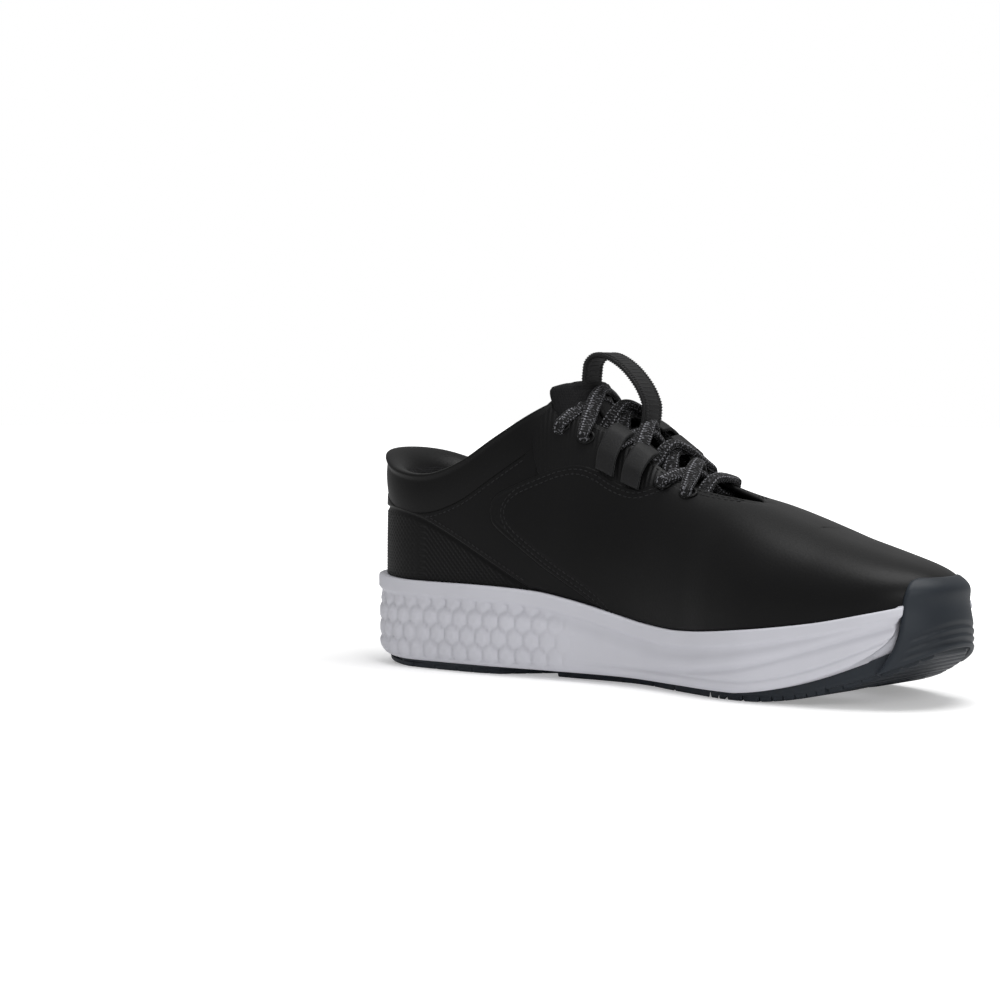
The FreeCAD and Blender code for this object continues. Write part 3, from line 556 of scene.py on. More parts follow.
# ------------------------------------------------------------------ geometry nodes: repeats along a line
def repeat_tree(name, box_shape):
    """Repeats one small form along a line: inputs are its pitch, sizes and finish."""
    tree = bpy.data.node_groups.new(name, "GeometryNodeTree")
    face = tree.interface
    face.new_socket("Geometry", in_out="INPUT", socket_type="NodeSocketGeometry")
    for label in ("Pitch", "Length", "Width", "Height"):
        face.new_socket(label, in_out="INPUT", socket_type="NodeSocketFloat")
    face.new_socket("Finish", in_out="INPUT", socket_type="NodeSocketMaterial")
    face.new_socket("Geometry", in_out="OUTPUT", socket_type="NodeSocketGeometry")
    nodes, links = tree.nodes, tree.links
    inward, outward = nodes.new("NodeGroupInput"), nodes.new("NodeGroupOutput")
    curve = nodes.new("GeometryNodeMeshToCurve")
    links.new(inward.outputs["Geometry"], curve.inputs["Mesh"])
    spaced = nodes.new("GeometryNodeResampleCurve")
    spaced.mode = "LENGTH"
    links.new(curve.outputs["Curve"], spaced.inputs["Curve"])
    links.new(inward.outputs["Pitch"], spaced.inputs["Length"])
    tangent = nodes.new("GeometryNodeInputTangent")
    away = nodes.new("GeometryNodeInputNamedAttribute")
    away.data_type = "FLOAT_VECTOR"
    away.inputs["Name"].default_value = "away"
    turn = nodes.new("FunctionNodeAxesToRotation")
    turn.primary_axis, turn.secondary_axis = "X", "Z"
    links.new(tangent.outputs["Tangent"], turn.inputs["Primary Axis"])
    links.new(away.outputs["Attribute"], turn.inputs["Secondary Axis"])
    if box_shape:
        form = nodes.new("GeometryNodeMeshCube")
        form.inputs["Size"].default_value = (1.0, 1.0, 1.0)
    else:
        form = nodes.new("GeometryNodeMeshUVSphere")
        form.inputs["Segments"].default_value = 8
        form.inputs["Rings"].default_value = 6
        form.inputs["Radius"].default_value = 0.5
    size = nodes.new("ShaderNodeCombineXYZ")
    for axis, label in zip("XYZ", ("Length", "Width", "Height")):
        links.new(inward.outputs[label], size.inputs[axis])
    placed = nodes.new("GeometryNodeInstanceOnPoints")
    links.new(spaced.outputs["Curve"], placed.inputs["Points"])
    links.new(form.outputs["Mesh"], placed.inputs["Instance"])
    links.new(turn.outputs["Rotation"], placed.inputs["Rotation"])
    links.new(size.outputs["Vector"], placed.inputs["Scale"])
    real = nodes.new("GeometryNodeRealizeInstances")
    links.new(placed.outputs["Instances"], real.inputs["Geometry"])
    soft = nodes.new("GeometryNodeSetShadeSmooth")
    soft.inputs["Shade Smooth"].default_value = not box_shape
    links.new(real.outputs["Geometry"], soft.inputs["Geometry"])
    painted = nodes.new("GeometryNodeSetMaterial")
    links.new(soft.outputs["Geometry"], painted.inputs["Geometry"])
    links.new(inward.outputs["Finish"], painted.inputs["Material"])
    links.new(painted.outputs["Geometry"], outward.inputs["Geometry"])
    return tree


def repeated(name, lines, pitch, length, width, height, paint, box_shape=False):
    """Plain mesh of small forms repeated along lines, each a pair of points and away directions in mm."""
    points, away, edges, start = [], [], [], 0
    for line, out in lines:
        points.append(np.asarray(line, float))
        away.append(np.asarray(out, float))
        edges += [(start + k, start + k + 1) for k in range(len(line) - 1)]
        start += len(line)
    mesh = bpy.data.meshes.new(name)
    mesh.from_pydata((np.concatenate(points) * MM).tolist(), edges, [])
    stored = mesh.attributes.new("away", "FLOAT_VECTOR", "POINT")
    stored.data.foreach_set("vector", np.concatenate(away).astype(np.float32).ravel())
    piece = bpy.data.objects.new(name, mesh)
    bpy.context.scene.collection.objects.link(piece)
    key = "RepeatBars" if box_shape else "RepeatStitches"
    tree = bpy.data.node_groups.get(key) or repeat_tree(key, box_shape)
    live = piece.modifiers.new("Repeat", "NODES")
    live.node_group = tree
    values = {"Pitch": pitch * MM, "Length": length * MM, "Width": width * MM, "Height": height * MM,
              "Finish": paint}
    for socket in tree.interface.items_tree:
        if socket.in_out == "INPUT" and socket.name in values:
            live[socket.identifier] = values[socket.name]
    bake(piece)
    if not len(piece.data.polygons):
        raise RuntimeError(name + " came out empty")
    return piece


# ------------------------------------------------------------------ seams of the upper, in side view (x, z)
VAMP_LOW = [(-68, 71.5), (-67.2, 67.5), (-64.5, 64.2), (-58, 59.6), (-40, 48.0), (-11, 31.5), (0, 20)]
VAMP_HIGH = [
    (-68, 71.5), (-67.2, 75.5), (-64.5, 78.6), (-58, 82.0), (-47, 86.6), (-36, 90.6), (-26, 92.0),
    (-16, 89.6), (-7, 85.2), (2, 82.6), (8, 83.2), (16, 88.5), (24, 110),
]
HEEL_SEAM = [(-150, 71.5), (-130, 71.0), (-114, 68.8), (-102, 65.2), (-80, 55.5), (-47, 38.5), (-40, 34),
             (-30, 20)]
FACING_TOP = [(-51, 105), (-50, 112), (-48, 118), (-45, 121.5), (-41, 122.5), (-20, 122.5)]
FACING_LOW = [(-51, 104), (-49.5, 98), (-46, 89.5), (-44, 86.5)]
COLLAR_DEPTH = 17.5
HIDE = 1.6


def stations(low, high, step, nose_low=False, nose_high=False):
    """Stations along the shoe, packed closer at a rounded end."""
    count = max(int(abs(high - low) / step), 4)
    u = np.linspace(0, 1, count)
    if nose_low:
        u = np.where(u < 0.2, u * u / 0.4 + 0.0, u - 0.1) / 0.9
    if nose_high:
        v = 1 - u
        u = 1 - np.where(v < 0.2, v * v / 0.4, v - 0.1) / 0.9
    return low + (high - low) * u


def lowest(*angles):
    return np.minimum.reduce(angles)


def both_sides(name, make, materials, merge=0.03, **more):
    """One mesh from the inner and the outer side's grids, welded where they meet."""
    points, faces, start = [], [], 0
    for side in (-1, 1):
        grid = make(side)
        rows, columns = grid.shape[:2]
        points.append(grid.reshape(-1, 3))
        faces.append(grid_faces(rows, columns, flip=(side > 0) != more.get("inward", False), start=start))
        start += rows * columns
    return new_piece(name, np.concatenate(points), np.concatenate(faces), materials, merge=merge)


def leather_panel(side, s, low, high, lift, rows, low_free, high_free, ends=(False, False), radius=1.0,
                  relief=None):
    """Grid of a panel whose free edges are rolled down on to what lies below."""
    t = edge_rows(rows)
    angle = low[:, None] + (high - low)[:, None] * t[None, :]
    where = np.repeat(s[:, None], rows, 1)
    base, out = skin(side, where, angle), skin_out(side, where, angle)
    border = []
    for free, column in ((low_free, 0), (high_free, -1)):
        if np.any(free):
            border.append(thicken(base[np.asarray(free), column], 0.5))
    for free, row in zip(ends, (0, -1)):
        if free:
            border.append(thicken(base[row], 0.5))
    lift = np.broadcast_to(np.reshape(lift, (-1, 1)), base.shape[:2])
    offset = lift.astype(float)
    distance = np.full(base.shape[:2], 99.0)
    if border:
        distance = edge_distance(base, np.concatenate(border))
        offset = offset - (lift + 0.2) * (1 - rounded(distance, radius))
    if relief is not None:
        offset = offset + relief(base, where, distance)
    return base + out * offset[..., None]


def vamp_angles(side, s):
    low = np.where(s < -8.0, angle_where(side, s, height_test(VAMP_LOW)), 0.0)
    seam = np.where(s < 20.0, angle_where(side, s, height_test(VAMP_HIGH)), math.pi / 2)
    gap = np.where(s < THROAT_END, angle_where(side, s, throat_test(0.0)), math.pi / 2)
    return low, np.maximum(lowest(seam, gap), low + 1e-4)


def vamp_grid(side):
    s = np.concatenate([stations(-68.0, 44.0, 1.6, nose_low=True), stations(44.0, 54.0, 0.5, nose_high=True)[1:],
                        stations(54.0, HALF, 1.6)[1:]])
    low, high = vamp_angles(side, s)

    def swell(base, where, distance):
        """A shallow valley along each row of stitches."""
        return -0.16 * np.exp(-((distance - 2.2) / 0.55) ** 2) - 0.16 * np.exp(-((distance - 4.2) / 0.55) ** 2)

    lift = 1.5 - 1.1 * ease(s, 40.0, 100.0)
    return leather_panel(side, s, low, high, lift, 64, s < -9.0, s < THROAT_END + 0.1, radius=1.1, relief=swell)


def quarter_grid(side):
    s = stations(-HALF, -4.0, 1.5)
    low = np.where(s < -38.0, angle_where(side, s, height_test(HEEL_SEAM)), 0.0)
    top = angle_where(side, s, height_test(TOPLINE, -COLLAR_DEPTH))
    gap = np.where(s > -46, angle_where(side, s, throat_test(1.5)), math.pi / 2)
    high = np.where(s > -46.0, lowest(gap, angle_where(side, s, height_test(FACING_TOP, -1.5))), top)
    blend = ease(s, -52.0, -46.0)
    high = np.where((s > -52) & (s <= -46), top * (1 - blend) + high * blend, high)
    return leather_panel(side, s, low, np.maximum(high, low + 0.01), 0.75, 56, s < -40.0, s < -52.0, radius=0.9)


def heel_grid(side):
    s = np.concatenate([stations(-HALF, HEEL_CENTRE, 0.55), stations(HEEL_CENTRE, -38.0, 0.5)[1:]])
    high = angle_where(side, s, height_test(HEEL_SEAM, HIDE))

    def knurl(base, where, distance):
        """Small raised diamonds, and a groove under the seam above them."""
        around = np.cumsum(np.linalg.norm(np.diff(base[:, 20], axis=0, prepend=base[:1, 20]), axis=1))[:, None]
        rise = base[..., 2]
        a, b = (around + rise) / 2.6, (around - rise) / 2.6
        cells = np.abs(np.sin(math.pi * a)) * np.abs(np.sin(math.pi * b))
        seam = read(HEEL_SEAM, base[..., 0]) - base[..., 2]
        fade = ease(seam, 1.0, 2.6) * ease(seam, -4.0, 1.0)
        return (0.42 * cells ** 0.7) * fade - 0.45 * np.exp(-((seam - 0.6) / 0.9) ** 2)

    return leather_panel(side, s, np.zeros(len(s)), high, 0.1, 84, np.zeros(len(s), bool), np.zeros(len(s), bool),
                         relief=knurl)


def facing_grid(side):
    s = np.concatenate([stations(-50.5, -43.0, 0.35), stations(-43.0, 22.0, 0.45)[1:]])
    low = np.where(s < -44.0, angle_where(side, s, height_test(FACING_LOW)),
                   angle_where(side, s, height_test(VAMP_HIGH, -HIDE)))
    top = angle_where(side, s, height_test(FACING_TOP))
    gap = np.where(s > -47.5, angle_where(side, s, throat_test(0.0)), math.pi / 2)
    high = np.maximum(lowest(top, gap), low + 0.002)

    def ribs(base, where, distance):
        """Fine upright ribs, flat round the holes."""
        flat = ease(distance, 1.2, 2.6)
        for row in HOLE_ROWS:
            hole = hole_place(side, row)
            away = np.linalg.norm(base[..., :2] - np.array(hole[:2]), axis=-1)
            flat = flat * ease(away, 3.6, 4.6)
        return 0.2 * (0.5 + 0.5 * np.cos(2 * math.pi * (where + 0.25 * base[..., 2]) / 1.75)) * flat

    return leather_panel(side, s, low, high, 1.15, 56, s < -44.0, s > -99, ends=(True, False), radius=0.8,
                         relief=ribs)


# ------------------------------------------------------------------ lace places
HOLE_ROWS = [27.0, 14.0, 1.0, -12.0, -26.0, -39.0]
HOLE_SETBACK = 5.0


def hole_place(side, x):
    """Plan place and surface height of a lacing hole."""
    y = float(axis_y(x) + side * (read(THROAT, x) + HOLE_SETBACK))
    return x, y, float(plan_height(x, y, 0.0))


def hole_out(side, x):
    """Outward normal at a lacing hole."""
    angle = angle_where(side, [x], throat_test(HOLE_SETBACK))
    return skin_out(side, np.array([x]), angle)[0]


def collar_rows(side, s):
    """Cross-sections of the padded collar: up the outside, over the edge and down the inside."""
    top = angle_where(side, s, height_test(TOPLINE))
    gap = np.where(s > -47.5, angle_where(side, s, throat_test(0.0)), math.pi / 2)
    edge = np.minimum(top, gap)
    crest = skin(side, s, edge)
    rows = []
    front = ease(s, -54.0, -43.0)
    for q in np.linspace(0, 1, 12):
        drop = COLLAR_DEPTH * (1 - q) + 3.0 * q
        angle = np.minimum(angle_where(side, s, lambda x, y, z, d=drop: z - (read(TOPLINE, x) - d)), edge)
        bulge = 0.35 + 1.35 * math.sin(math.pi * min(q * 0.62 + 0.02, 1.0)) * (1 - 0.75 * front)
        rows.append(skin(side, s, angle) + skin_out(side, s, angle) * np.reshape(bulge, (-1, 1)))
    inside = []
    for q in np.linspace(0, 1, 12):
        drop = 3.5 * (1 - q) + 25.0 * q
        angle = np.minimum(angle_where(side, s, lambda x, y, z, d=drop: z - (read(TOPLINE, x) - d), 7.6), edge)
        swell = (2.6 * math.sin(math.pi * min(q * 1.1, 1.0)) ** 0.8) * (1 - 0.8 * front)
        inside.append(skin(side, s, angle, 7.6) - skin_out(side, s, angle, 7.6) * np.reshape(swell, (-1, 1)))
    a, b = rows[-1], inside[0]
    over = []
    up = crest - (a + b) / 2
    for k in range(1, 10):
        turn = math.pi * k / 10
        over.append((a + b) / 2 + (a - b) / 2 * math.cos(turn) + up * math.sin(turn) ** 0.8)
    return np.stack(rows + over + inside, 1)


class SHOE_OT_vamp(bpy.types.Operator):
    """Saddle of smooth leather over the toe and both sides, its edge turned down on to the quarters"""
    bl_idname = "golf_shoe.vamp"
    bl_label = "Vamp"

    def execute(self, context):
        piece = both_sides("Vamp", vamp_grid, [finish("leather")])
        solidify(piece, 1.3)
        settle(piece, "bend", "smooth_leather", "vamp_rear", "vamp_front", "vamp_crease")
        return {"FINISHED"}


class SHOE_OT_quarters(bpy.types.Operator):
    """Quarters of smooth leather, and the knurled panel round the heel"""
    bl_idname = "golf_shoe.quarters"
    bl_label = "Quarters and heel panel"

    def execute(self, context):
        piece = both_sides("Quarters", quarter_grid, [finish("leather")])
        solidify(piece, 1.0)
        settle(piece, REAR, "smooth_leather", "quarter_medial", "quarter_lateral")
        heel = both_sides("HeelPanel", heel_grid, [finish("knurled")])
        solidify(heel, 0.9)
        settle(heel, REAR, "knurled_synthetic", "heel_panel", "heel_counter")
        return {"FINISHED"}


class SHOE_OT_facings(bpy.types.Operator):
    """Ribbed facings on both sides of the lacing gap, with a raised rim round each hole except those of the two
    middle rows
    """
    bl_idname = "golf_shoe.facings"
    bl_label = "Facings and eyelets"

    def execute(self, context):
        for side, name in ((-1, "medial"), (1, "lateral")):
            grid = facing_grid(side)
            piece = new_piece("Facing_" + name, grid,
                              grid_faces(*grid.shape[:2], flip=side > 0), [finish("ribbed")],
                              merge=0.01)
            solidify(piece, 0.9)
            settle(piece, REAR, "ribbed_synthetic", "facing_" + name)
            for row, x in enumerate(HOLE_ROWS):
                if row in (2, 3):
                    continue
                rim = eyelet_rim("Eyelet_%s_%d" % (name, row), side, x, 1.9 if row < 2 else 1.3)
                settle(rim, REAR, "ribbed_synthetic")
        return {"FINISHED"}


def eyelet_rim(name, side, x, lift):
    """Oval raised ring round a hole, lying on the facing."""
    centre = np.array(hole_place(side, x))
    out = hole_out(side, x)
    along = np.array([1.0, 0.0, 0.0]) - out * out[0]
    along /= np.linalg.norm(along)
    across = np.cross(out, along)
    points, faces, turns, ring = [], [], 28, 10
    for i in range(turns):
        a = 2 * math.pi * i / turns
        spoke = along * math.cos(a) * 3.5 + across * math.sin(a) * 2.7
        radial = spoke / np.linalg.norm(spoke)
        for j in range(ring):
            b = 2 * math.pi * j / ring
            points.append(centre + spoke + radial * 0.75 * math.cos(b) + out * (lift + 0.55 * math.sin(b)))
            faces.append((i * ring + j, i * ring + (j + 1) % ring, ((i + 1) % turns) * ring + (j + 1) % ring,
                          ((i + 1) % turns) * ring + j))
    piece = new_piece(name, points, faces, [finish("ribbed")])
    tidy_mesh(piece, 0.001, turn=True)
    return piece


class SHOE_OT_collar(bpy.types.Operator):
    """Padded collar round the foot opening, leather outside and textile inside"""
    bl_idname = "golf_shoe.collar"
    bl_label = "Collar"

    def execute(self, context):
        around = np.concatenate([stations(-43.0, HEEL_CENTRE, 1.2), stations(HEEL_CENTRE, -HALF, 1.4)[1:]])
        inner, outer = collar_rows(-1, around), collar_rows(1, around[::-1])
        grid = np.concatenate([inner, outer[1:]])
        rows, columns = grid.shape[:2]
        faces = grid_faces(rows, columns, flip=True)
        index = [(f[0] % columns) > 22 for f in faces]
        piece = new_piece("Collar", grid, faces, [finish("collar"), finish("lining")], index=index)
        caps = bmesh.new()
        caps.from_mesh(piece.data)
        caps.verts.ensure_lookup_table()
        for row in (0, rows - 1):
            loop = [caps.verts[row * columns + k] for k in range(columns)]
            caps.faces.new(loop if row == 0 else loop[::-1])
        caps.to_mesh(piece.data)
        caps.free()
        soften = piece.modifiers.new("Soften", "SUBSURF")
        soften.levels = soften.render_levels = 1
        bake(piece)
        settle(piece, REAR, "foam_soft", "collar_foam", "collar_lining")
        return {"FINISHED"}


def lining_grid(side):
    s = stations(-HALF, HALF, 3.0)
    low = np.zeros(len(s))
    top = angle_where(side, s, height_test(TOPLINE, -20.0), 3.8)
    gap = np.where(s < THROAT_END, angle_where(side, s, throat_test(0.4), 3.8), math.pi / 2)
    high = np.where(s < -46.0, top, gap)
    t = np.linspace(0, 1, 30)
    angle = low[:, None] + (high - low)[:, None] * t[None, :]
    return skin(side, np.repeat(s[:, None], 30, 1), angle, 3.8)


class SHOE_OT_lining(bpy.types.Operator):
    """Textile lining and the sockliner that the foot stands on"""
    bl_idname = "golf_shoe.lining"
    bl_label = "Lining and sockliner"

    def execute(self, context):
        piece = both_sides("Lining", lining_grid, [finish("lining")], inward=True)
        solidify(piece, 0.8)
        settle(piece, "bend", "lining_cloth", "quarter_lining", "vamp_lining_rear", "vamp_lining_front",
               "vamp_lining_crease", "toe_puff")
        points, faces, start = [], [], 0
        for side in (-1, 1):
            s = stations(-HALF, HALF, 3.0)
            t = np.linspace(0, 1, 14)
            rim_x, rim_y = rim_point(side, s, FLANGE + 5.0)
            middle = np.clip(s, HEEL_CENTRE, TOE_CENTRE)
            x = middle[:, None] + (rim_x - middle)[:, None] * t
            y = axis_y(middle)[:, None] + (rim_y - axis_y(middle))[:, None] * t
            z = feather_z(x) + 7.0 + 3.0 * t ** 3
            grid = np.stack([x, y, z], -1)
            points.append(grid.reshape(-1, 3))
            faces.append(grid_faces(len(s), 14, flip=side < 0, start=start))
            start += len(s) * 14
        sock = new_piece("Sockliner", np.concatenate(points), np.concatenate(faces), [finish("sock")], merge=0.02)
        solidify(sock, 3.0)
        settle(sock, "bend", "sockliner", "sockliner_rear", "sockliner_front", "strobel_board_rear",
               "strobel_board_front")
        return {"FINISHED"}


def seam_line(side, stations_xz, inwards, low, high, lift, step=1.0):
    """Line on the upper beside a seam given in side view, moved towards positive inwards."""
    x = np.arange(low, high, step)
    z = read(stations_xz, x)
    slope = np.gradient(z, x)
    length = np.sqrt(1 + slope ** 2)
    px, pz = x - inwards * slope / length, z + inwards / length
    return surface_line(side, px, pz, lift)


def surface_line(side, x, z, lift):
    """Points and away directions where the upper meets the side-view points."""
    angle = np.array([angle_where(side, [a], lambda p, q, r, h=b: r - h)[0] for a, b in zip(x, z)])
    out = skin_out(side, np.asarray(x, float), angle)
    return skin(side, np.asarray(x, float), angle) + out * lift, out


def vamp_stitch(side, inset, lift):
    """Stitch line inside the vamp's edge: up its rear seam, round the corner and along the top to the gap."""
    low_x = np.linspace(-11.0 + inset * 1.6, -55.0, 40)
    low_z = read(VAMP_LOW, low_x)
    slope = np.gradient(low_z, low_x)
    size = np.sqrt(1 + slope ** 2)
    first = np.stack([low_x - inset * slope / size, low_z + inset / size], 1)
    high_x = np.linspace(-55.0, 15.0, 70)
    high_z = read(VAMP_HIGH, high_x)
    slope = np.gradient(high_z, high_x)
    size = np.sqrt(1 + slope ** 2)
    last = np.stack([high_x + inset * slope / size, high_z - inset / size], 1)
    corner_from, corner_to = first[-1], last[0]
    pull = np.array([-68.0 + inset, 71.5])
    turn = np.linspace(0, 1, 14)[1:-1, None]
    corner = (1 - turn) ** 2 * corner_from + 2 * turn * (1 - turn) * (pull + [-3.5, 0]) + turn ** 2 * corner_to
    both = np.concatenate([first, corner, last])
    return surface_line(side, both[:, 0], both[:, 1], lift)


def throat_stitch(side, inset, low, high, lift):
    """Stitch line beside the lacing gap."""
    s = np.arange(low, high, 1.0)
    angle = angle_where(side, s, throat_test(inset))
    out = skin_out(side, s, angle)
    return skin(side, s, angle) + out * lift, out


class SHOE_OT_stitches(bpy.types.Operator):
    """Rows of stitches beside the seams"""
    bl_idname = "golf_shoe.stitches"
    bl_label = "Stitches"

    def execute(self, context):
        look = context.scene.golf_shoe_sizes
        pitch, length, width = look.stitch_pitch * 1000, look.stitch_length * 1000, look.stitch_width * 1000
        vamp_lines, rear_lines = [], []
        for side in (-1, 1):
            for inset in (2.2, 4.2):
                vamp_lines.append(vamp_stitch(side, inset, 1.42))
                vamp_lines.append(throat_stitch(side, inset - 0.4, 17.0, 50.0, 1.42))
            below_collar = [(x, z - COLLAR_DEPTH) for x, z in TOPLINE]
            rear_lines.append(seam_line(side, below_collar, -2.0, -104.0, -54.0, 0.85))
            rear_lines.append(seam_line(side, HEEL_SEAM, 2.0, -104.0, -50.0, 0.85))
            s = np.arange(-46.0, 12.0, 1.0)
            angle = lowest(angle_where(side, s, throat_test(1.7)),
                           angle_where(side, s, height_test(FACING_TOP, -1.7)))
            out = skin_out(side, s, angle)
            rear_lines.append((skin(side, s, angle) + out * 1.3, out))
        vamp = repeated("VampStitches", vamp_lines, pitch, length, width, width * 0.75, finish("thread"))
        settle(vamp, "bend", "webbing")
        rear = repeated("RearStitches", rear_lines, pitch, length, width, width * 0.75, finish("thread"))
        settle(rear, REAR, "webbing")
        return {"FINISHED"}


# ------------------------------------------------------------------ tongue, pull loop, lace
TONGUE = [
    (50, 69.5, 36, 14), (38, 73.5, 42, 16), (25, 78.0, 46, 18), (13, 84.0, 46, 18.5), (0, 92.5, 44, 18.5),
    (-12, 100.5, 42, 18.5), (-24, 108.5, 38, 18.5), (-32, 118.0, 32, 19), (-37, 129.0, 28, 20),
]
ARCH_HALF = 26.0
TONGUE_THICK = 6.0


def tongue_point(u, across, depth):
    """Point of the tongue: u 0..1 from root to top, across -1..1, depth below its top face."""
    k = np.asarray(u, float) * (len(TONGUE) - 1)
    table = [(i, *row) for i, row in enumerate(TONGUE)]
    x, z = read(table, k, 1), read(table, k, 2)
    fall_depth, half = read(table, k, 3), read(table, k, 4)
    dx = read(table, k + 0.05, 1) - read(table, k - 0.05, 1)
    dz = read(table, k + 0.05, 2) - read(table, k - 0.05, 2)
    size = np.sqrt(dx * dx + dz * dz)
    nx, nz = dz / size, -dx / size
    y = half * across
    fall = fall_depth * (1 - (1 - np.abs(y / ARCH_HALF) ** CROWN_POWER) ** (1 / CROWN_POWER))
    down = fall + depth
    return np.stack(np.broadcast_arrays(x - nx * down, axis_y(x) + y, z - nz * down), -1)


class SHOE_OT_tongue(bpy.types.Operator):
    """Padded tongue with sewn channels and the tape that runs up its middle"""
    bl_idname = "golf_shoe.tongue"
    bl_label = "Tongue"

    def execute(self, context):
        rows, turns = 90, 72
        u = np.linspace(0, 1, rows)[:, None]
        ring = np.linspace(0, 2 * math.pi, turns, endpoint=False)[None, :]
        across = np.sign(np.cos(ring)) * np.abs(np.cos(ring)) ** 0.6
        face = np.sin(ring)
        end = rounded(np.minimum(u, 1 - u) * 110.0, 4.0)
        half_thick = TONGUE_THICK / 2 * np.abs(face) ** 0.55 * (0.25 + 0.75 * end)
        depth = TONGUE_THICK / 2 - np.sign(face) * half_thick
        top = face > 0.1
        channels = 0.9 * np.exp(-((np.abs(across) - 0.62) / 0.06) ** 2)
        ladder = 0.5 * np.exp(-((((u * 11.0) % 1.0) - 0.5) / 0.09) ** 2) * (np.abs(across) < 0.6)
        depth = depth + np.where(top, channels + ladder, 0.0)
        pinch = 0.15 + 0.85 * rounded((1 - u) * 110.0, 9.0)
        grid = tongue_point(u, across * (0.92 + 0.08 * pinch), depth)
        faces = []
        for i in range(rows - 1):
            for j in range(turns):
                k = (j + 1) % turns
                faces.append((i * turns + j, (i + 1) * turns + j, (i + 1) * turns + k, i * turns + k))
        faces.append([j for j in range(turns)])
        faces.append([(rows - 1) * turns + j for j in range(turns)][::-1])
        index = [1 if (f[0] % turns) > turns // 2 else 0 for f in faces]
        piece = new_piece("Tongue", grid, faces, [finish("tongue"), finish("lining")], index=index)
        tidy_mesh(piece, 0.001, turn=True)
        settle(piece, TONGUE_BODY, "tongue_textile", "tongue", "tongue_lining")
        self.tape()
        return {"FINISHED"}

    def tape(self):
        """Middle tape with its cross ribs."""
        u = np.linspace(0.12, 0.9, 90)[:, None]
        across = np.linspace(-0.3, 0.3, 13)[None, :]
        depth = -1.25 + 0.9 * (1 - rounded((0.3 - np.abs(across)) * 18.0, 0.8)) + 0.0 * u
        grid = tongue_point(u, across, depth)
        piece = new_piece("TongueTape", grid, grid_faces(90, 13), [finish("webbing")])
        tidy_mesh(piece, 0.001)
        solidify(piece, 0.9)
        settle(piece, TONGUE_BODY, "webbing", "tongue_webbing")
        lines = []
        for place in (-0.22, -0.11, 0.0, 0.11, 0.22):
            path = tongue_point(np.linspace(0.13, 0.89, 120), place, -1.4)
            below = tongue_point(np.linspace(0.13, 0.89, 120), place, -0.4)
            away = path - below
            lines.append((path, away / np.linalg.norm(away, axis=1, keepdims=True)))
        ribs = repeated("TongueTapeRibs", lines, 1.6, 0.9, 2.1, 0.5, finish("webbing"))
        settle(ribs, TONGUE_BODY, "webbing")


LOOP_LINE = [
    (-38, 131.8), (-37, 136), (-33, 138.8), (-26, 138.4), (-17, 133.5), (-9.5, 126), (-5.5, 119), (-5, 115),
]


def smooth_path(points, count):
    """Even points along a Catmull-Rom curve through the given ones."""
    p = np.asarray(points, float)
    p = np.concatenate([2 * p[:1] - p[1:2], p, 2 * p[-1:] - p[-2:-1]])
    out = []
    for k in range(1, len(p) - 2):
        t = np.linspace(0, 1, 24, endpoint=False)[:, None]
        a, b, c, d = p[k - 1], p[k], p[k + 1], p[k + 2]
        out.append(0.5 * (2 * b + (c - a) * t + (2 * a - 5 * b + 4 * c - d) * t ** 2
                          + (3 * b - a - 3 * c + d) * t ** 3))
    line = np.concatenate(out + [p[-2:-1]])
    far = np.concatenate([[0], np.cumsum(np.linalg.norm(np.diff(line, axis=0), axis=1))])
    even = np.linspace(0, far[-1], count)
    return np.stack([np.interp(even, far, line[:, k]) for k in range(3)], 1)


class SHOE_OT_pull_loop(bpy.types.Operator):
    """Ribbed tape that stands up from the tongue as a finger loop"""
    bl_idname = "golf_shoe.pull_loop"
    bl_label = "Pull loop"

    def execute(self, context):
        tail = [(-36, 122), (-38.2, 127)]
        front = [(-5.5, 111.0), (-6.5, 108.0)]
        path = smooth_path([(x, 0.0, z) for x, z in tail + LOOP_LINE + front], 130)
        path[:, 1] = axis_y(path[:, 0]) * 0.5
        along = np.gradient(path, axis=0)
        along /= np.linalg.norm(along, axis=1, keepdims=True)
        away = np.stack([-along[:, 2], 0 * along[:, 0], along[:, 0]], 1)
        half, thick, ring = 6.3, 1.1, 28
        points, faces = [], []
        for i in range(len(path)):
            for j in range(ring):
                a = 2 * math.pi * j / ring
                wide = half * np.sign(math.cos(a)) * abs(math.cos(a)) ** 0.35
                high = thick * np.sign(math.sin(a)) * abs(math.sin(a)) ** 0.6
                points.append(path[i] + np.array([0, wide, 0]) + away[i] * high)
        count = len(path)
        for i in range(count - 1):
            for j in range(ring):
                k = (j + 1) % ring
                faces.append((i * ring + j, (i + 1) * ring + j, (i + 1) * ring + k, i * ring + k))
        faces += [[j for j in range(ring)], [(count - 1) * ring + j for j in range(ring)][::-1]]
        piece = new_piece("PullLoop", points, faces, [finish("webbing")])
        tidy_mesh(piece, 0.001, turn=True)
        lines = []
        for place in (-4.9, 4.9):
            for side in (-1, 1):
                lines.append((path[3:-3] + [0, place, 0] + away[3:-3] * thick * side, away[3:-3] * side))
        bars = repeated("PullLoopEdgeRibs", lines, 1.25, 0.75, 2.3, 0.5, finish("webbing"))
        lines = [(path[3:-3] + away[3:-3] * thick * side, away[3:-3] * side) for side in (-1, 1)]
        middle = repeated("PullLoopRibs", lines, 2.1, 1.0, 7.0, 0.3, finish("webbing"))
        for item in (piece, bars, middle):
            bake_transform(item)
        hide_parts("pull_loop")
        return {"FINISHED"}


def lace_turn(row, side):
    """Route points where the lace dips into a hole and comes back up."""
    x = HOLE_ROWS[row]
    hx, hy, hz = hole_place(side, x)
    out = hole_out(side, x)
    return np.array([hx, hy, hz]), out


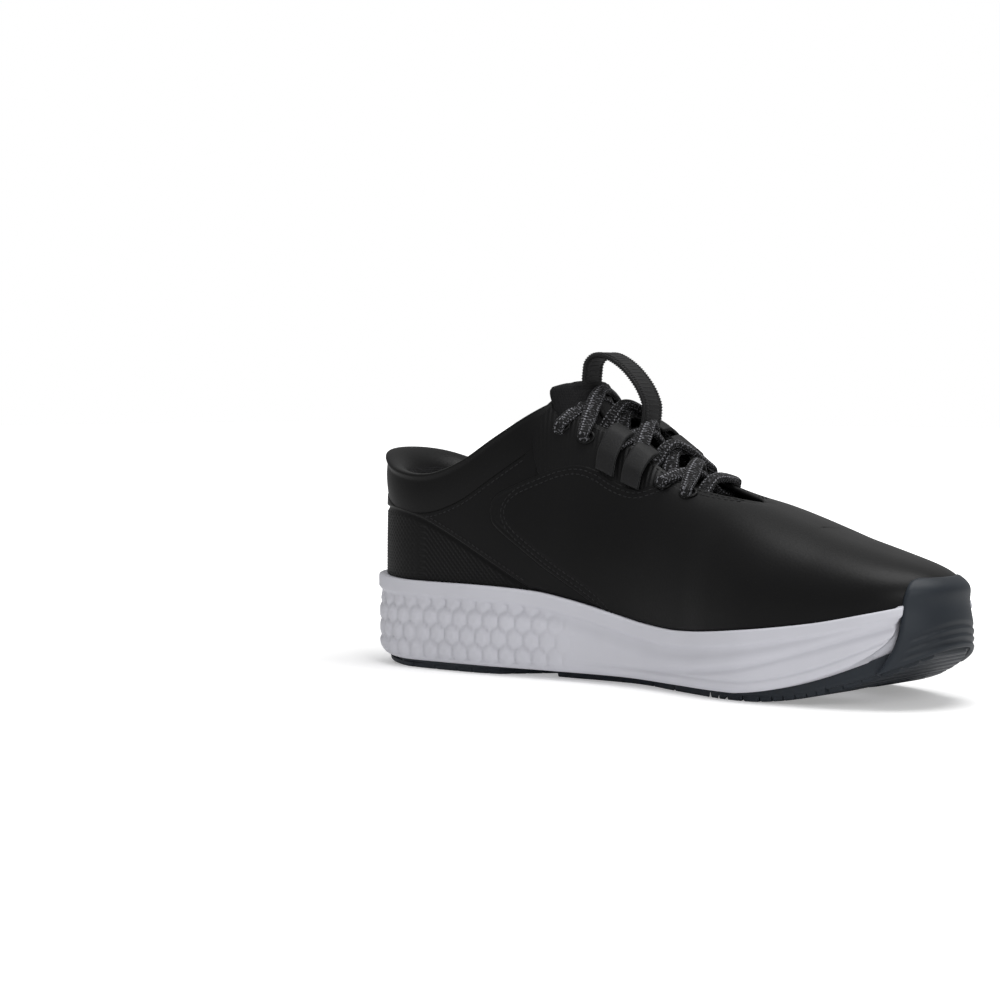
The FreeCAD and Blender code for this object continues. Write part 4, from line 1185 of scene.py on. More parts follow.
def lace_route():
    """Criss-cross route as points with the surface normal at each, from one inner end to the other."""
    def crest(x, lift):
        y = float(axis_y(x))
        return np.array([x, y, float(crown_z(x, 0.0)) + lift]), np.array([0.35, 0.0, 0.94]) * facing_up[0]

    def dip(row, side, order):
        """Under the facing's edge, out to the hole, up through it and back: the lace's faces turn over."""
        hole, out = lace_turn(row, side)
        toward = np.array([0.0, -side, 0.0])
        under = hole - out * 2.6 + toward * 3.5 - np.array([1.2, 0.0, 0.0]) * order
        bend = hole - out * 2.2 - toward * 1.0
        through = hole + out * 0.6 - toward * 2.0
        above = hole + out * 3.4 - toward * 0.2 + np.array([0.6, 0.0, 0.0]) * order
        flip = facing_up[0]
        facing_up[0] = -flip
        steps = [(under, out * flip), (bend, (out + toward) * flip * 0.7), (through, toward * flip),
                 (above, -out * flip)]
        return steps

    points, facing_up = [], [1.0]
    last = len(HOLE_ROWS) - 1
    hole, out = lace_turn(last, -1)
    inner = [np.array([-43.0, hole[1] - 1.5, 78.0]), np.array([-42.0, hole[1] - 1.5, 92.0]),
             np.array([-40.5, hole[1] - 1.0, 103.0])]
    points += [(p, np.array([0.0, -1.0, 0.1])) for p in inner] + [(hole + out * 2.6, out)]
    side = -1
    for row in range(last - 1, -1, -1):
        middle = (HOLE_ROWS[row] + HOLE_ROWS[row + 1]) / 2
        points.append(crest(middle, 2.4))
        side = -side
        points += dip(row, side, 1)
    points.append(crest(HOLE_ROWS[0] + 2.0, 3.2))
    side = -side
    points += [(p, n) for p, n in dip(0, side, -1)]
    for row in range(1, last + 1):
        middle = (HOLE_ROWS[row] + HOLE_ROWS[row - 1]) / 2
        points.append(crest(middle, 6.6))
        side = -side
        if row < last:
            points += dip(row, side, -1)
    hole, out = lace_turn(last, 1)
    points += [(hole + out * 2.6, out * facing_up[0])]
    inner = [np.array([-40.5, hole[1] + 1.0, 103.0]), np.array([-42.0, hole[1] + 1.5, 92.0]),
             np.array([-43.0, hole[1] + 1.5, 78.0])]
    return points + [(p, np.array([0.0, 1.0, 0.1]) * facing_up[0]) for p in inner]


class SHOE_OT_lace(bpy.types.Operator):
    """Braided flat-oval lace, criss-crossed and tucked in, its ends closed with flat caps"""
    bl_idname = "golf_shoe.lace"
    bl_label = "Lace"

    def execute(self, context):
        sizes = context.scene.golf_shoe_sizes
        half, thick = sizes.lace_width * 500, sizes.lace_thickness * 500
        route = lace_route()
        both = np.array([np.concatenate([p, n * 10]) for p, n in route])
        spots = np.concatenate([[0], np.cumsum(np.linalg.norm(np.diff(both[:, :3], axis=0), axis=1))])
        table = [tuple([s, *row]) for s, row in zip(spots, both)]
        far = np.linspace(0, spots[-1], 760)
        line = np.stack([read(table, far, k) for k in (1, 2, 3)], 1)
        away = np.stack([read(table, far, k) for k in (4, 5, 6)], 1)
        along = np.gradient(line, axis=0)
        along /= np.linalg.norm(along, axis=1, keepdims=True)
        away -= along * (away * along).sum(1, keepdims=True)
        away /= np.linalg.norm(away, axis=1, keepdims=True)
        across = np.cross(away, along)
        ring = 20
        a = np.linspace(0, 2 * math.pi, ring, endpoint=False)
        wide = half * np.sign(np.cos(a)) * np.abs(np.cos(a)) ** 0.8
        high = thick * np.sign(np.sin(a)) * np.abs(np.sin(a)) ** 0.85
        nearest = ((line[:, None, :] - both[None, 1:-1, :3]) ** 2).sum(-1).min(1)
        pinch = 1.0 - 0.25 * np.exp(-(nearest / 30.0))[:, None, None]
        sideways = across[:, None, :] * wide[None, :, None] * pinch
        points = line[:, None, :] + sideways + away[:, None, :] * high[None, :, None]
        faces, coords = [], []
        count = len(line)
        length = np.concatenate([[0], np.cumsum(np.linalg.norm(np.diff(line, axis=0), axis=1))])
        for i in range(count - 1):
            for j in range(ring):
                k = (j + 1) % ring
                faces.append((i * ring + j, i * ring + k, (i + 1) * ring + k, (i + 1) * ring + j))
                coords += [(length[i], j), (length[i], j + 1), (length[i + 1], j + 1), (length[i + 1], j)]
        piece = new_piece("Lace", points, faces, [finish("lace")])
        layer = piece.data.uv_layers.new(name="Braid")
        scale = 2 * 3.7 / ring
        layer.data.foreach_set("uv", np.array([(u, v * scale) for u, v in coords], np.float32).ravel())
        ends = bmesh.new()
        ends.from_mesh(piece.data)
        ends.verts.ensure_lookup_table()
        ends.faces.new([ends.verts[j] for j in range(ring)][::-1])
        ends.faces.new([ends.verts[(count - 1) * ring + j] for j in range(ring)])
        bmesh.ops.recalc_face_normals(ends, faces=ends.faces)
        ends.to_mesh(piece.data)
        ends.free()
        settle(piece, REAR, "lace_cord", "lace")
        return {"FINISHED"}


class SHOE_OT_lace_loops(bpy.types.Operator):
    """Ribbed webbing tabs that carry the lace over the facings"""
    bl_idname = "golf_shoe.lace_loops"
    bl_label = "Lace loops"

    def execute(self, context):
        for side, name in ((-1, "medial"), (1, "lateral")):
            lines = []
            grids = []
            for x in HOLE_ROWS[2:4]:
                grid, out = self.tab(side, x)
                grids.append(grid)
                middle = grid.shape[1] // 2
                lines.append((grid[1:-1, middle], out[1:-1, middle]))
            rows, columns = grids[0].shape[:2]
            points = np.concatenate([g.reshape(-1, 3) for g in grids])
            faces = [grid_faces(rows, columns, flip=side > 0, start=k * rows * columns) for k in (0, 1)]
            faces = np.concatenate(faces)
            piece = new_piece("LaceTabs_" + name, points, faces, [finish("webbing")])
            solidify(piece, 1.3)
            settle(piece, REAR, "webbing", "lace_loops_" + name)
            ribs = repeated("LaceTabRibs_" + name, lines, 1.25, 0.7, 8.4, 0.9, finish("webbing"))
            settle(ribs, REAR, "webbing")
        return {"FINISHED"}

    def tab(self, side, x):
        """A folded strap over the facing's edge, arched over the lace that it holds."""
        s = np.linspace(x - 4.3, x + 4.3, 12)
        over = np.linspace(-1.0, 1.0, 22)
        near = angle_where(side, s, throat_test(-2.5))
        far = angle_where(side, s, throat_test(9.0))
        t = (over + 1) / 2
        angle = far[None, :] + (near - far)[None, :] * t[:, None]
        where = np.repeat(s[None, :], 22, 0)
        base, out = skin(side, where, angle), skin_out(side, where, angle)
        hump = 1.9 + 2.5 * np.clip(np.sin(math.pi * t) * 1.3, 0, 1)[:, None]
        return base + out * hump[..., None], out


# ------------------------------------------------------------------ midsole
WINDOW_RING = [
    (-33, 3), (-47, 0), (-70, -2), (-86, -4), (-98, -3), (-104, 3), (-98, 9), (-83, 13), (-58, 14), (-42, 15),
    (-28, 14),
]


def around_stations(count):
    """Stations along one side of the sole, from the heel's back to the tip of the toe."""
    s = np.linspace(-HALF, HALF, count)
    return s


def hexagons(u, v, pitch):
    """Pillow height 0..1 of a staggered six-sided pattern."""
    step = pitch * math.sqrt(3) / 2
    best = np.full(np.broadcast(u, v).shape, 1e9)
    second = best.copy()
    row = np.round(v / step)
    for dr in (-1, 0, 1):
        r = row + dr
        shift = (r % 2) * 0.5
        column = np.round(u / pitch - shift)
        for dc in (-1, 0, 1):
            d = np.hypot(u - (column + dc + shift) * pitch, v - r * step)
            second = np.where(d < best, best, np.minimum(second, d))
            best = np.minimum(best, d)
    return np.clip((second - best) / (pitch * 0.55), 0, 1)


def wall_relief(x, z, arc):
    """How far the side wall stands in from the outline, in millimetres."""
    low, top = seam_z(x), feather_z(x)
    down, up = top - z, z - low
    fore = ease(x, 0.0, 45.0)
    inset = 0.6 * (1 - rounded(down, 1.3)) * 1.6
    flange = 6.2 - 2.6 * ease(x, 60.0, 138.0)
    inset += 1.35 * ease(down, flange - 0.6, flange + 1.2) * (1 - 0.7 * ease(down, flange + 2.0, flange + 8.0))
    height = np.maximum(top - low, 1.0)
    second = low + height * (0.20 + 0.34 * ease(x, 10.0, 125.0))
    inset += fore * 1.0 * np.exp(-((z - second) / 1.25) ** 2)
    inset -= fore * 0.7 * np.exp(-((z - second - 3.4) / 2.2) ** 2)
    inset += 0.7 * np.exp(-((up - 4.3) / 0.6) ** 2) * ease(x, -40.0, 10.0)
    inset += 3.4 * (1 - rounded(up, 5.5)) * (1 - 0.55 * fore)
    heel = 1 - ease(x, -52.0, -14.0)
    cells = hexagons(arc, z - 31.2, 8.6)
    field = ease(down, flange + 0.2, flange + 2.0) * ease(up, 0.5, 3.0)
    inset += heel * field * 1.7 * (1 - cells ** 0.55)
    return inset


def recess(x, y):
    """Depth of the white window under the heel, with its six-sided cells."""
    ring = np.array([p for p in WINDOW_RING], float)
    low = read([(-104, 3), (-98, -3.0), (-86, -4.0), (-70, -2.5), (-47, 0), (-33, 4), (-27, 9)], x)
    high = read([(-104, 3), (-98, 9), (-83, 13), (-58, 14.5), (-42, 15), (-33, 15), (-27, 9)], x)
    inside = np.minimum(np.minimum(y - low, high - y), np.minimum(x - ring[:, 0].min(), -27 - x))
    deep = ease(inside, -1.2, 2.4)
    cells = hexagons(x, y - 5.0, 8.0)
    return deep * (3.6 - 1.0 * cells ** 0.6)


BUMPER_REAR = [(112, 10.0), (118.0, 14.0), (124, 18.5), (128.6, 21.5), (132.5, 25.0), (135.8, 29.0), (138, 36.0),
               (139.2, 42.0), (140.2, 46.0), (141.8, 49.0), (143.8, 51.0), (146.0, 52.0)]


class SHOE_OT_midsole(bpy.types.Operator):
    """Foam midsole: flange, waved side, six-sided pillows at the heel and the recess below it"""
    bl_idname = "golf_shoe.midsole"
    bl_label = "Midsole"

    def execute(self, context):
        points, faces, start = [], [], 0
        count, wall, under, over = 520, 46, 46, 8
        for side in (-1, 1):
            s = around_stations(count)
            rim_x, rim_y = rim_point(side, s, 0.0)
            arc = np.concatenate([[0], np.cumsum(np.hypot(np.diff(rim_x), np.diff(rim_y)))])
            middle = np.clip(s, HEEL_CENTRE, TOE_CENTRE)
            middle_y = axis_y(middle)
            spoke = np.stack([rim_x - middle, rim_y - middle_y], 1)
            reach = np.linalg.norm(spoke, axis=1)
            spoke /= reach[:, None]
            columns = []
            low, top = seam_z(rim_x), feather_z(rim_x)
            side_table = [(z_at, x_at) for x_at, z_at in BUMPER_REAR]
            behind_bumper = ease(rim_x, read(side_table, top) - 3.0, read(side_table, top) + 1.5)
            flange = 0.95 + 4.6 * behind_bumper
            for q in np.linspace(1, 0, over):
                inset = flange + q * (reach - 0.05 - flange)
                columns.append((inset, top - 0.35 * (q > 0.01)))
            for q in 0.5 - 0.5 * np.cos(math.pi * np.linspace(0, 1, wall)):
                z = top + (low - top) * (0.6 * q + 0.4 * np.linspace(0, 1, wall)[len(columns) - over])
                inset = wall_relief(rim_x, z, arc * (1 if side < 0 else -1))
                cover = read(side_table, z)
                columns.append((inset + (5.5 - 0.9 * inset) * ease(rim_x, cover - 1.0, cover + 2.5), z))
            first = columns[-1][0]
            for q in np.linspace(0, 1, under)[1:]:
                columns.append((first + (reach - first) * q, None))
            grid = np.empty((count, len(columns), 3))
            for k, (inset, z) in enumerate(columns):
                at = np.stack([rim_x, rim_y], 1) - spoke * np.reshape(np.minimum(inset, reach), (-1, 1))
                grid[:, k, :2] = at
                grid[:, k, 2] = seam_z(at[:, 0]) + recess(at[:, 0], at[:, 1]) if z is None else z
                if z is not None and k < over - 1:
                    grid[:, k, 2] = feather_z(at[:, 0]) - 0.35
            points.append(grid.reshape(-1, 3))
            faces.append(grid_faces(count, len(columns), flip=side < 0, start=start))
            start += count * len(columns)
        piece = new_piece("Midsole", np.concatenate(points), np.concatenate(faces), [finish("foam")])
        tidy_mesh(piece, 0.02, turn=True)
        settle(piece, "bend", "foam_white", "midsole_rear", "midsole_front")
        return {"FINISHED"}


class SHOE_OT_bumper(bpy.types.Operator):
    """Rubber bumper that wraps the toe and leans on to the vamp"""
    bl_idname = "golf_shoe.bumper"
    bl_label = "Toe bumper"

    def execute(self, context):
        edge = [(z, x) for x, z in BUMPER_REAR]
        across, rows = 150, 60
        heights = np.linspace(0, 1, rows)
        grid = np.zeros((across, rows, 3))
        share = np.linspace(-1, 1, across)
        dense = np.linspace(TOE_CENTRE, HALF, 600)
        for j, q in enumerate(heights):
            tip_low = float(ground_z(148.0)) + 0.8
            z_tip = tip_low + (52.0 - tip_low) * q
            for side in (-1, 1):
                rim_x, _ = rim_point(side, dense, 0.0)
                start = float(np.interp(read(edge, z_tip), rim_x, dense))
                use = share < 0 if side < 0 else share >= 0
                s = HALF + (start - HALF) * np.abs(share[use])
                x, y = rim_point(side, s, 0.0)
                z = np.maximum(z_tip - (1 - q) ** 2 * (ground_z(148.0) - ground_z(x)), ground_z(x) + 0.3)
                lean = ease(z, 38.0, 50.0)
                middle = np.clip(s, HEEL_CENTRE, TOE_CENTRE)
                spoke = np.stack([x - middle, y - axis_y(middle)], 1)
                spoke /= np.linalg.norm(spoke, axis=1)[:, None]
                upper = angle_where(side, s, lambda a, b, c, h=z: c - h[:, None])
                leather = skin(side, s, upper) + skin_out(side, s, upper) * 2.9
                above = z - ground_z(x)
                inset = np.zeros(len(s))
                for step, depth in ((3.2, 0.9), (6.2, 0.8), (9.4, 0.7)):
                    step_in = depth * ease(above, step - 0.5, step) * (1 - ease(above, step, step + 2.6))
                    inset += step_in * ease(1 - np.abs(share[use]), 0.1, 0.3)
                inset += 1.6 * (1 - rounded(above, 3.0)) + 0.3 + 2.4 * ease(z, 27.0, 46.0)
                at = np.stack([x, y], 1) - spoke * inset[:, None]
                mixed = at * (1 - lean[:, None]) + leather[:, :2] * lean[:, None]
                grid[use, j, :2] = mixed
                grid[use, j, 2] = z
        border = np.concatenate([thicken(grid[0]), thicken(grid[-1]), thicken(grid[:, -1])])
        distance = edge_distance(grid, border)
        along, up = np.gradient(grid, axis=0), np.gradient(grid, axis=1)
        out = np.cross(along, up)
        out /= np.maximum(np.linalg.norm(out, axis=-1, keepdims=True), 1e-9)
        out *= np.sign((out[..., 0] * 1.0).mean())
        grid = grid - out * (1.7 * (1 - rounded(distance, 2.2)))[..., None]
        flip = np.cross(along[across // 2, 30], up[across // 2, 30])[0] < 0
        piece = new_piece("ToeBumper", grid, grid_faces(across, rows, flip=flip), [finish("rubber")])
        tidy_mesh(piece, 0.001)
        solidify(piece, 2.4)
        settle(piece, FRONT, "rubber_slate", "outsole_forefoot_front")
        return {"FINISHED"}


# ------------------------------------------------------------------ tread
class Strip:
    """Stretch of tread between two plan curves with matching points; t runs along, u from first to second."""

    def __init__(self, first, second):
        self.first, self.second = first, second
        self.last = len(first) - 1

    def at(self, t, u):
        def curve(points):
            table = [(k, *p) for k, p in enumerate(points)]
            return np.stack([read(table, t, 1), read(table, t, 2)], -1)
        u = np.asarray(u, float)[..., None]
        return curve(self.first) * (1 - u) + curve(self.second) * u

    def sizes(self, t0, t1, u0, u1):
        t, u = (t0 + t1) / 2, (u0 + u1) / 2
        def gap_between(first, second):
            return np.linalg.norm(self.at(*map(np.array, second)) - self.at(*map(np.array, first)))
        along = gap_between((t0, u), (t1, u)) / (t1 - t0)
        wide = gap_between((t, u0), (t, u1)) / (u1 - u0)
        return max(along, 1e-6), max(wide, 1e-6)


class Tread:
    """Gathers slabs and lugs into one mesh."""

    def __init__(self):
        self.points, self.faces, self.count = [], [], 0

    def block(self, strip, t0, t1, u0, u1, gap, root, face, chamfer=0.45, taper=0.3, cut=None):
        """A lug: root and face are heights over the plan; its face is bevelled."""
        along, wide = strip.sizes(t0, t1, u0, u1)
        n = max(2, min(14, int(along * (t1 - t0) / 3.0) + 2))
        m = max(2, min(10, int(wide * (u1 - u0) / 4.0) + 2))
        levels = [(gap / 2 - taper, 0.0), (gap / 2, 0.75), (gap / 2 + chamfer, 1.0)]
        rings = []
        for margin, height in levels:
            dt, du = min(margin / along, (t1 - t0) * 0.45), min(margin / wide, (u1 - u0) * 0.45)
            t, u = np.meshgrid(np.linspace(t0 + dt, t1 - dt, n), np.linspace(u0 + du, u1 - du, m), indexing="ij")
            xy = strip.at(t, u)
            x = xy[..., 0]
            z = root(x) + (face(x) - root(x)) * height
            rings.append(np.concatenate([xy, z[..., None]], -1))
        border = [(i, 0) for i in range(n)] + [(n - 1, j) for j in range(1, m)]
        border += [(i, m - 1) for i in range(n - 2, -1, -1)] + [(0, j) for j in range(m - 2, 0, -1)]
        flat = rings[-1].reshape(-1, 3)
        base = self.count
        self.points.append(flat)
        turn = self.turn(strip, t0, t1, u0, u1)
        quads = grid_faces(n, m, flip=turn, start=base)
        self.faces += quads.tolist()
        self.count += len(flat)
        loops = [[base + i * m + j for i, j in border]]
        for ring in (rings[1], rings[0]):
            loop = np.array([ring[i, j] for i, j in border])
            self.points.append(loop)
            loops.append(list(range(self.count, self.count + len(loop))))
            self.count += len(loop)
        for above, below in zip(loops, loops[1:]):
            for k in range(len(border)):
                q = (k + 1) % len(border)
                face_ids = [above[k], below[k], below[q], above[q]]
                self.faces.append(face_ids if turn else face_ids[::-1])
        self.faces.append(loops[-1] if turn else loops[-1][::-1])

    def turn(self, strip, t0, t1, u0, u1):
        """Whether the strip's grid runs the way that makes its faces look up rather than down."""
        a = strip.at(np.array(t0), np.array(u0))
        b = strip.at(np.array(t1), np.array(u0)) - a
        c = strip.at(np.array(t0), np.array(u1)) - a
        return b[0] * c[1] - b[1] * c[0] > 0

    def cells(self, strip, t_breaks, u_breaks, gap, root, face, **more):
        for t0, t1 in zip(t_breaks, t_breaks[1:]):
            for u0, u1 in zip(u_breaks, u_breaks[1:]):
                self.block(strip, t0, t1, u0, u1, gap, root, face, **more)

    def piece(self, name, paint):
        made = new_piece(name, np.concatenate(self.points), self.faces, [paint], smooth=False)
        bevelled = bmesh.new()
        bevelled.from_mesh(made.data)
        bmesh.ops.recalc_face_normals(bevelled, faces=bevelled.faces)
        bevelled.to_mesh(made.data)
        bevelled.free()
        return made


MEDIAL_IN = [(4.2, 7.8), (16, 0.5), (32, -7.5), (48, -11.5), (72, -12), (90, -10.5), (106, -7), (113, -5)]
MEDIAL_OUT = [(14, -24), (30, -30.5), (54, -38.5), (64, -41), (80, -41.3), (90, -39.6), (100, -38.2),
              (108, -36.6)]
LATERAL_IN = [(3.6, 9.8), (20, 19.5), (31, 25), (50, 28), (70, 26.5), (91, 19.5), (106, 9.5), (114, 4)]
LATERAL_OUT = [(-2, 28), (7, 37), (18, 44.5), (36, 51.3), (56, 53.8), (90, 46.8), (108, 39.5), (120, 33)]
TOE_IN = [(108, -36.6), (114, -35.0), (121, -32.6), (128, -29.2), (134.5, -24.8), (140, -20.0), (144, -15.2)]
TOE_OUT = [(120, 33), (124, 31.0), (129, 27.6), (134, 23.4), (138.5, 18.2), (142, 13.0), (145, 8.0)]
TAIL_IN = [(-43, -21.5), (-30, -21.5), (-16, -20.5), (2, -21), (14, -24)]
TAIL_OUT = [(-42, -18.5), (-31, -5.5), (-20, 9.0), (-9, 20.5), (-2, 28)]
HEEL_IN = [(-42, -4), (-57, -8), (-74, -11), (-90, -12), (-102, -11.5), (-112, -6.5), (-116.5, 2.5), (-112, 12),
           (-102, 17.0), (-90, 20), (-70, 20.5), (-48, 20.5), (-32, 20.5), (-20, 19.8)]
HEEL_OUT = [(-65, -30.5), (-76, -33.3), (-88, -34.0), (-104, -34.0), (-121, -32.0), (-138, -22.5), (-145, 1.0),
            (-139, 23.5), (-123, 35.0), (-104, 37.0), (-82, 37.0), (-54, 35.3), (-28, 33.2), (-13, 33.0)]


def floor_of(depth):
    """Root of the lugs: the groove floor over the ground line."""
    return lambda x: ground_z(x) + depth


def plate_top(x):
    return seam_z(x) + 0.25


class SHOE_OT_forefoot_tread(bpy.types.Operator):
    """Forefoot rubber: lugs on both sides of the plate, contour ribs, toe bars and the smooth arch tail"""
    bl_idname = "golf_shoe.forefoot_tread"
    bl_label = "Forefoot tread"

    def execute(self, context):
        groove = context.scene.golf_shoe_sizes.groove * 1000
        inner, outer = Strip(MEDIAL_IN, MEDIAL_OUT), Strip(LATERAL_IN, LATERAL_OUT)
        toe, tail = Strip(TOE_IN, TOE_OUT), Strip(TAIL_IN, TAIL_OUT)
        bridge = Strip([(113, -5), (108, -36.6)], [(114, 4), (120, 33)])
        tread = Tread()
        root = floor_of(groove)
        for strip in (inner, outer, toe, tail):
            tread.block(strip, 0, strip.last, 0, 1, 0.0, plate_top, root, chamfer=0.2, taper=0.0)
        tread.block(bridge, 0, 1, 0, 1, 0.0, plate_top, root, chamfer=0.1, taper=0.0)
        face = ground_z
        columns = [0.0, 0.19, 0.38, 0.60, 1.0]
        for k in range(inner.last):
            for u0, u1 in zip(columns, columns[1:]):
                if u1 == 1.0 and k >= 2:
                    tread.block(inner, k, k + 0.5, u0, u1, 0.9, root, face)
                    tread.block(inner, k + 0.5, k + 1, u0, u1, 0.9, root, face)
                else:
                    tread.block(inner, k, k + 1, u0, u1, 0.8, root, face)
        for k in range(outer.last):
            parts = [0.0, 0.5, 1.0] if k in (1, 2, 3, 4, 5) else [0.0, 1.0]
            for a, b in zip(parts, parts[1:]):
                tread.cells(outer, [k + a, k + b], [0.0, 0.3, 0.64, 1.0], 1.0, root, face)
        for k in range(toe.last):
            tread.block(toe, k, k + 1, 0.02, 0.98, 0.7, root, lambda x, k=k: ground_z(x) + 0.15 * k, chamfer=0.8)
        for u0, u1 in zip(np.linspace(0, 1, 7), np.linspace(0, 1, 7)[1:]):
            tread.block(tail, 0.25, tail.last, u0, u1, 0.35, root, face, chamfer=0.3)
        piece = tread.piece("ForefootTread", finish("rubber"))
        settle(piece, "bend", "rubber_slate", "outsole_forefoot_rear")
        return {"FINISHED"}


class SHOE_OT_heel_tread(bpy.types.Operator):
    """Heel rubber: a horseshoe of concentric bars with small lugs on its inner leg"""
    bl_idname = "golf_shoe.heel_tread"
    bl_label = "Heel tread"

    def execute(self, context):
        groove = context.scene.golf_shoe_sizes.groove * 1000
        strip = Strip(HEEL_IN, HEEL_OUT)
        tread = Tread()
        root = floor_of(groove)
        tread.block(strip, 0, strip.last, 0, 1, 0.0, plate_top, root, chamfer=0.2, taper=0.0)
        rings = [0.0, 0.22, 0.42, 0.62, 0.81, 1.0]
        tread.cells(strip, [0.0, 0.6, 1.3, 2.0, 2.8, 3.6], rings, 1.0, root, ground_z)
        tread.cells(strip, [3.6, 5.2, 6.9, 8.2], rings, 0.9, root, ground_z)
        tread.cells(strip, [8.2, 9.4, 10.5, 11.6, 12.5, 13.0], [0.0, 0.26, 0.5, 0.75, 1.0], 1.0, root, ground_z)
        piece = tread.piece("HeelTread", finish("rubber"))
        settle(piece, REAR, "rubber_slate", "outsole_heel")
        return {"FINISHED"}


LEAF_LOW = [(12.5, 9), (22, 0.5), (36, -5.2), (52, -7.6), (66, -8.4), (80, -8.2), (94, -6.2), (107.5, -1.8)]
LEAF_HIGH = [(12.5, 9), (20, 15), (33, 20.6), (48, 23.4), (62, 23.3), (78, 20.6), (94, 12.6), (107.5, -1.8)]


class SHOE_OT_insert(bpy.types.Operator):
    """White leaf-shaped plate under the forefoot, with a rim and slanted panels"""
    bl_idname = "golf_shoe.insert"
    bl_label = "Forefoot plate"

    def execute(self, context):
        strip = Strip(LEAF_LOW, LEAF_HIGH)
        tread = Tread()
        rim_face = lambda x: ground_z(x) + 1.0
        bed = lambda x: ground_z(x) + 2.4
        tread.block(strip, 0.0, strip.last, 0, 1, -0.6, plate_top, bed, chamfer=0.1, taper=0.0)
        tread.block(strip, 0.02, strip.last - 0.02, 0.0, 0.09, -0.4, bed, rim_face, chamfer=0.6)
        tread.block(strip, 0.02, strip.last - 0.02, 0.91, 1.0, -0.4, bed, rim_face, chamfer=0.6)
        edges = np.linspace(0.35, strip.last - 0.2, 11)
        for t0, t1 in zip(edges, edges[1:]):
            tread.block(strip, t0, t1, 0.12, 0.88, 0.7, bed, lambda x: ground_z(x) + 1.45, chamfer=0.5)
        piece = tread.piece("ForefootPlate", finish("plate"))
        settle(piece, "bend", "plate_white", "forefoot_insert_rear", "forefoot_insert_front")
        return {"FINISHED"}


# ------------------------------------------------------------------ stage
class SHOE_OT_stage(bpy.types.Operator):
    """Pale floor, soft studio lights and the camera"""
    bl_idname = "golf_shoe.stage"
    bl_label = "Stage"

    def execute(self, context):
        scene = context.scene
        scene.view_settings.view_transform = "Standard"
        floor_paint = Paint("StudioFloor", 0.7, specular=0.2)
        floor_paint.colour(floor_paint.noise(3.0), [(0.3, (0.86, 0.86, 0.86)), (0.7, (0.88, 0.88, 0.88))])
        mesh = bpy.data.meshes.new("Floor")
        half = 6.0
        corners = [(-half, -half, 0), (half, -half, 0), (half, half, 0), (-half, half, 0)]
        mesh.from_pydata(corners, [], [(0, 1, 2, 3)])
        self.see_through_below(floor_paint)
        mesh.materials.append(floor_paint.material)
        floor = bpy.data.objects.new("Floor", mesh)
        floor.visible_shadow = False
        scene.collection.objects.link(floor)
        world = bpy.data.worlds.new("Studio")
        world.use_nodes = True
        background = world.node_tree.nodes["Background"]
        background.inputs["Color"].default_value = (1.0, 1.0, 1.0, 1.0)
        seen = world.node_tree.nodes.new("ShaderNodeLightPath")
        strength = world.node_tree.nodes.new("ShaderNodeMapRange")
        strength.inputs["To Min"].default_value = 0.42
        strength.inputs["To Max"].default_value = 1.0
        world.node_tree.links.new(seen.outputs["Is Camera Ray"], strength.inputs["Value"])
        world.node_tree.links.new(strength.outputs["Result"], background.inputs["Strength"])
        scene.world = world
        self.lamp("Overhead", (0.25, 0.1, 1.3), (0.05, 0.0, 0.05), 1.0, 12.0)
        self.lamp("Front", (1.3, -0.9, 0.8), (0.05, 0.0, 0.05), 0.5, 6.0)
        self.lamp("Below", (0.0, -0.1, -1.4), (0.0, 0.0, 0.0), 1.6, 3.5)
        data = bpy.data.cameras.new("Camera")
        data.lens, data.sensor_width = 92.376, 36.0
        data.clip_start, data.clip_end = 0.05, 30.0
        camera = bpy.data.objects.new("Camera", data)
        turn, tilt = math.radians(40.8), math.radians(2.5)
        aim = Vector((-math.sin(turn) * math.cos(tilt), math.cos(turn) * math.cos(tilt), -math.sin(tilt)))
        camera.location = (0.66416, -0.87534, 0.12485)
        camera.rotation_euler = aim.to_track_quat("-Z", "Y").to_euler()
        scene.collection.objects.link(camera)
        scene.camera = camera
        return {"FINISHED"}

    def see_through_below(self, paint):
        """The floor shows only from above, so the sole can be looked at from below."""
        clear = paint.node("ShaderNodeBsdfTransparent")
        choose = paint.node("ShaderNodeMixShader")
        place = paint.node("ShaderNodeNewGeometry")
        distance = paint.node("ShaderNodeVectorMath", operation="LENGTH")
        paint.link(place.outputs["Position"], distance.inputs[0])
        far = paint.node("ShaderNodeMapRange")
        far.inputs["From Min"].default_value = 0.22
        far.inputs["From Max"].default_value = 0.45
        far.inputs["To Min"].default_value = 0.30
        paint.link(distance.outputs["Value"], far.inputs["Value"])
        camera_only = paint.node("ShaderNodeLightPath")
        glow = paint.node("ShaderNodeEmission")
        paint.link(paint.math("MULTIPLY", far.outputs["Result"], camera_only.outputs["Is Camera Ray"]),
                   glow.inputs["Strength"])
        lifted = paint.node("ShaderNodeAddShader")
        paint.link(paint.shader.outputs[0], lifted.inputs[0])
        paint.link(glow.outputs[0], lifted.inputs[1])
        paint.link(paint.node("ShaderNodeNewGeometry").outputs["Backfacing"], choose.inputs[0])
        paint.link(lifted.outputs[0], choose.inputs[1])
        paint.link(clear.outputs[0], choose.inputs[2])
        paint.link(choose.outputs[0], paint.tree.nodes["Material Output"].inputs["Surface"])

    def lamp(self, name, place, target, size, power):
        data = bpy.data.lights.new(name, "AREA")
        data.shape, data.size, data.energy = "DISK", size, power
        light = bpy.data.objects.new(name, data)
        light.location = place
        light.rotation_euler = (Vector(target) - Vector(place)).to_track_quat("-Z", "Y").to_euler()
        bpy.context.scene.collection.objects.link(light)


